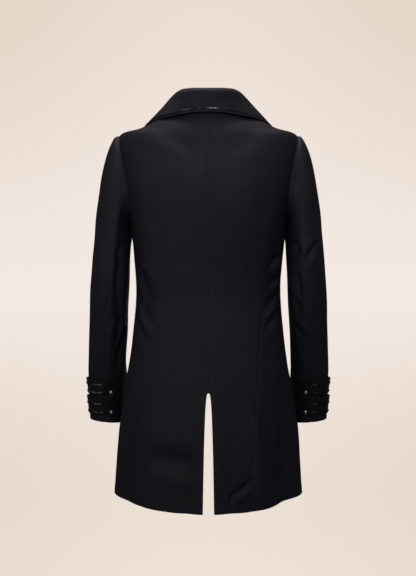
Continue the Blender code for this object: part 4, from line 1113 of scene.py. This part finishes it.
# The cuff straps are bands of black figured cloth round the outside of each sleeve, two to a cuff. Each is
# sewn down at its foot and stands off the sleeve at its top edge.
STRAPS = (
    # name, top, bottom, upper_braid, lower_braid
    ("upper", -0.632, -0.669, -0.644, -0.6635),
    ("lower", -0.675, -0.7175, -0.6915, -0.712),
)
STRAP_CLOTH, STRAP_GAP, STRAP_FLARE = 0.0024, 0.0006, 0.0034
STRAP_INNER_TURN, STRAP_FRONT_TURN = 120, -112
STRAP_GROOVE, STRAP_GROOVE_AT, STRAP_GROOVE_WIDE = 0.0004, 0.0022, 0.0008
STRAP_WAVE, STRAP_WAVE_LENGTH = 0.0002, 0.006
STRAP_CUT, STRAP_AREA = (0.209, 0.041), 0.0083
DIAMOND_WIDE, DIAMOND_HIGH, LATTICE, DOTS = 0.0085, 0.0075, (0.16, 0.05), (1.62, 1.80)
BROCADE_COLOURS = ((0.0024, 0.0022, 0.0032), (0.0330, 0.0310, 0.0380))
BROCADE_RISE, FIGURE_THREAD = 0.00035, 0.0009

brocade = Finish("strap_brocade", {"Specular IOR Level": 0.22})
across, along = brocade.across_and_along()
rising = (across / DIAMOND_WIDE + along / DIAMOND_HIGH).zigzag()
falling = (across / DIAMOND_WIDE - along / DIAMOND_HIGH).zigzag()
figure = (rising * falling).between(*LATTICE) + (rising + falling).between(*DOTS)
figure_thread = (across + along).wave(FIGURE_THREAD) * 0.5 + 0.5
brocade.feed("Base Color", brocade.tint(figure, *BROCADE_COLOURS))
brocade.feed("Roughness", 0.55 - figure * 0.25)
brocade.raise_surface(figure + figure_thread * 0.25 + brocade.noise(500.0) * 0.3, BROCADE_RISE)


def strap_offset(height, top, bottom):
    """How far a strap's middle stands off the sleeve's: it sits flat at its foot and flares as a square."""
    return CLOTH / 2 + STRAP_GAP + STRAP_CLOTH / 2 + STRAP_FLARE * ((height - bottom) / (top - bottom)) ** 2


for strap, top, bottom, *_ in STRAPS:
    turns = STRAP_FRONT_TURN + (STRAP_INNER_TURN - STRAP_FRONT_TURN) * spaced(70, 0.4)
    heights = (bottom + (top - bottom) * spaced(16, 0.6))[:, None]
    sheet = moved_out(sleeve, turns[None], heights, strap_offset(heights, top, bottom), -1)
    normal = outward(sleeve, turns[None] + 0 * heights, heights + 0 * turns[None], -1)
    sheet = drawn_in(sheet, *[STRAP_CLOTH / 2] * 4)
    away_from = edge_distances(sheet)
    nearest = np.min(list(away_from.values()), axis=0)
    press = STRAP_WAVE * np.sin(away_from["first"] / STRAP_WAVE_LENGTH)
    press = press - STRAP_GROOVE * bell(nearest - STRAP_GROOVE_AT, STRAP_GROOVE_WIDE)
    for name, side in SIDES.items():
        materials = [brocade.material]
        band = Shell(f"cuff_strap_{strap}_{name}", sheet, normal, side, 0, press, materials, STRAP_CLOTH)
        band.lay(STRAP_CUT, STRAP_AREA, slot="strap_brocade", held="stretched")

# The braid is a narrow flat plait of three glossy black cords. One row runs above the collar's edge, and two
# rows run along each cuff strap. It is laid on the cloth and sewn down.
BRAID_WIDTH, BRAID_THICK, PLAIT_LENGTH, PLAIT_STEPS = 0.0036, 0.0014, 0.0062, 12
STRAND_WIDE, STRAND_HIGH, STRAND_CROSSING, STRAND_SIDES, STRAND_TIP = 0.00095, 0.00058, 0.0003, 8, 0.05
FIBRE, FIBRE_SLOPE, BRAID_RISE = 0.00042, 0.8, 0.00005
BRAID_AND_PAINTED_GLINT_COLOURS = ((0.008, 0.008, 0.011), (0.62, 0.60, 0.64))
BRAID_INNER_TURN, COLLAR_BRAID_INSET, COLLAR_BRAID_END, COLLAR_BRAID_GAP = 99, 0.0085, 80, 0.0002
# Painted glints on the braids: patches where the base colour is painted bright to stand in for glints of
# light, weaker on the right cuffs. Each gives the distance from the end, or on the collar from the middle,
# the half length and the strength.
COLLAR_PAINTED_GLINTS = ((0.009, 0.011, 1.0), (-0.052, 0.012, 0.3), (-0.022, 0.005, 0.3), (0.036, 0.006, 0.2))
CUFF_PAINTED_GLINTS = {
    ("upper", "upper"): [(0.021, 0.006, 0.6), (0.036, 0.004, 0.5), (0.085, 0.010, 0.5), (0.125, 0.008, 0.4)],
    ("upper", "lower"): [(0.019, 0.004, 0.6), (0.034, 0.007, 1.0), (0.051, 0.005, 0.9), (0.110, 0.010, 0.5)],
    ("lower", "upper"): [(0.021, 0.004, 0.6), (0.034, 0.006, 0.6), (0.075, 0.008, 0.4), (0.120, 0.009, 0.5)],
    ("lower", "lower"): [(0.016, 0.004, 0.5), (0.030, 0.006, 0.7), (0.050, 0.004, 0.4), (0.095, 0.010, 0.5)],
    "right": [(0.014, 0.004, 0.3), (0.06, 0.006, 0.3), (0.1, 0.009, 0.5), (0.13, 0.006, 0.4)],
}

gloss_cord = Finish("glossy_black_braid", {"Metallic": 0.9})
across, along = gloss_cord.across_and_along()
fibre = (across + along * FIBRE_SLOPE).wave(FIBRE) * 0.5 + 0.5
# The braid's edge attribute holds its painted glint mask: where it is high the base colour is painted bright,
# as a painted glint, and the roughness drops.
painted_glint_mask = gloss_cord.node("ShaderNodeAttribute", {"attribute_name": "edge"})[2]
painted_glint = gloss_cord.noise(260.0, 1.5).between(0.40, 0.56) * painted_glint_mask
gloss_cord.feed("Base Color", gloss_cord.tint(fibre * 0.05 + painted_glint * 0.95, *BRAID_AND_PAINTED_GLINT_COLOURS))
gloss_cord.feed("Roughness", 0.36 - painted_glint * 0.10)
gloss_cord.raise_surface(fibre, BRAID_RISE)


def add_braid(name, line, aside, out, painted_glints):
    """A flat plait of three strands along a line: each strand swings from side to side as a sine and over and
    under as a sine of twice the pace, and is an ellipse across its own direction. The painted glints are
    patches where its base colour is painted bright to stand in for glints of light: the distance from its
    last end, the half length and the strength of each."""
    run = run_along(line)
    count = int(run[-1] / PLAIT_LENGTH * PLAIT_STEPS)
    at = np.linspace(0, run[-1], count)
    place, side_way, up_way = (read_along(at, run, values) for values in (line, aside, out))
    swing, rise = BRAID_WIDTH / 2 - STRAND_WIDE, (BRAID_THICK - 2 * STRAND_HIGH) / 2 + STRAND_CROSSING
    around = np.linspace(0, 2 * math.pi, STRAND_SIDES + 1)[:-1]
    # The strength of the painted glints along the braid, kept as its edge attribute.
    places, lengths, strengths = np.array(painted_glints).T
    painted_glint_strength = np.sum(strengths * bell(run[-1] - at[:, None] - places, lengths), 1)
    from_end = np.minimum(np.arange(count), np.arange(count)[::-1])
    taper = np.clip(from_end / 2 + STRAND_TIP, 0, 1)[:, None, None]
    tube = grid_quads(count, STRAND_SIDES, closed=True)
    points, quads = [], []
    for strand in range(3):
        phase = 2 * math.pi * (at / PLAIT_LENGTH + strand / 3)
        over = np.sin(2 * phase) * rise
        middle = place + side_way * (swing * np.sin(phase))[:, None] + up_way * over[:, None]
        way = unit(np.gradient(middle, axis=0))
        wide_way = unit(np.cross(up_way, way))
        high_way = np.cross(way, wide_way)
        ring = wide_way[:, None] * (STRAND_WIDE * np.cos(around))[:, None]
        ring = ring + high_way[:, None] * (STRAND_HIGH * np.sin(around))[:, None]
        points.append((middle[:, None] + ring * taper).reshape(-1, 3))
        quads.append(tube + strand * count * STRAND_SIDES)
    points, quads = np.concatenate(points), np.concatenate(quads)
    uv = np.stack(np.broadcast_arrays(around * STRAND_WIDE, at[:, None]), -1).reshape(-1, 2)
    uv, painted_glint_strength = np.tile(uv, (3, 1)), np.tile(np.repeat(np.clip(painted_glint_strength, 0, 1), STRAND_SIDES), 3)
    braid = mesh_object(f"{name}_plait", points, quads, [gloss_cord.material], uv, edge=painted_glint_strength)
    in_place(braid, name)


fine_angles = np.linspace(-COLLAR_BRAID_END, COLLAR_BRAID_END, 161)
rim = collar_points(fine_angles, np.array([0.99, 1.0]))
down = unit(rim[:, 1] - rim[:, 0])
out = unit(np.cross(np.gradient(rim[:, 1], axis=0), down))
middle = rim[:, 1] - down * COLLAR_BRAID_INSET + out * (CLOTH / 2 + BRAID_THICK / 2 + COLLAR_BRAID_GAP)
painted_glints = np.array(COLLAR_PAINTED_GLINTS) + (run_along(middle)[-1] / 2, 0, 0)
add_braid("collar_braid", middle, down, out, painted_glints)
for strap, top, bottom, *braids in STRAPS:
    for row, height in zip(("upper", "lower"), braids):
        turns = np.linspace(STRAP_FRONT_TURN, BRAID_INNER_TURN, 120)
        lift = strap_offset(height, top, bottom) + STRAP_CLOTH / 2 + BRAID_THICK / 2
        line = moved_out(sleeve, turns, height, lift, -1)
        out = outward(sleeve, turns, np.full(turns.shape, height), -1)
        aside = unit(np.cross(out, np.gradient(line, axis=0)))
        for name, side in SIDES.items():
            flip = (side, 1, 1)
            painted_glints = CUFF_PAINTED_GLINTS[strap, row] if name == "left" else CUFF_PAINTED_GLINTS["right"]
            add_braid(f"cuff_braid_{strap}_{row}_{name}", line * flip, aside * flip, out * flip, painted_glints)

# The buttons are domed silver-coloured metal on a shank: two small ones on each cuff, at the inner ends of
# the straps, and three larger ones down the front.
CUFF_BUTTON, FRONT_BUTTON = (0.0055, 0.0042), (0.0090, 0.0060)
CUFF_BUTTON_TURN, BUTTON_SHANK = 109, 0.0008
FRONT_BUTTON_HEIGHTS = (-0.300, -0.375, -0.450)
RIM_ROLL, RIM_RISE, CHANNEL, DOME_REACH, DOME_FOOT = 0.08, 0.14, (0.83, 0.17), 0.82, 0.16
SILVER_COLOURS, SILVER_RISE = ((0.72, 0.72, 0.73), (0.50, 0.50, 0.52)), 0.00006

silver = Finish("silver_metal", {"Metallic": 1.0, "Base Color": (0.66, 0.66, 0.67, 1)})
tarnish = silver.noise(420.0, 4.0)
silver.feed("Base Color", silver.tint(tarnish.between(0.35, 0.75), *SILVER_COLOURS))
silver.feed("Roughness", 0.17 + tarnish * 0.16)
silver.raise_surface(silver.noise(260.0), SILVER_RISE)


def add_button(node, base, facing, size):
    """A button turned about its axis: a flat back, a rolled rim, a shallow channel and a dome that rises as a
    quarter of an ellipse."""
    rim, dome = np.radians(np.linspace(-90, 130, 10)), np.radians(np.linspace(8, 90, 14))
    rolled = 1 - RIM_ROLL * (1 - np.cos(rim))
    reach = np.concatenate([[0.001], rolled, CHANNEL[:1], DOME_REACH * np.cos(dome)]) * size[0]
    reach[-1] = 0.00002
    risen = DOME_FOOT + (1 - DOME_FOOT) * np.sin(dome)
    rise = np.concatenate([[0.0], RIM_RISE * (1 + np.sin(rim)), CHANNEL[1:], risen]) * size[1]
    side_way = unit(np.cross(facing, (0, 0, 1.0)))
    points = spun(reach, rise, 40, base, (side_way, np.cross(side_way, facing), facing))
    quads = grid_quads(*points.shape[:2], closed=True)[:, ::-1]
    button = mesh_object(f"{node}_metal", points.reshape(-1, 3), quads, [silver.material])
    in_place(button, node)


for strap, top, bottom, _, height in STRAPS:
    seat = strap_offset(height, top, bottom) + STRAP_CLOTH / 2
    base = moved_out(sleeve, CUFF_BUTTON_TURN, height, seat, -1)
    facing = outward(sleeve, CUFF_BUTTON_TURN, height, -1)
    for name, side in SIDES.items():
        add_button(f"cuff_button_{strap}_{name}", base * (side, 1, 1), facing * (side, 1, 1), CUFF_BUTTON)
for number, height in enumerate(FRONT_BUTTON_HEIGHTS, 1):
    base = moved_out(form, 180, height, LIFTS["left"] + CLOTH / 2 + BUTTON_SHANK)
    add_button(f"front_button_{number}", base, outward(form, 180.0, height), FRONT_BUTTON)
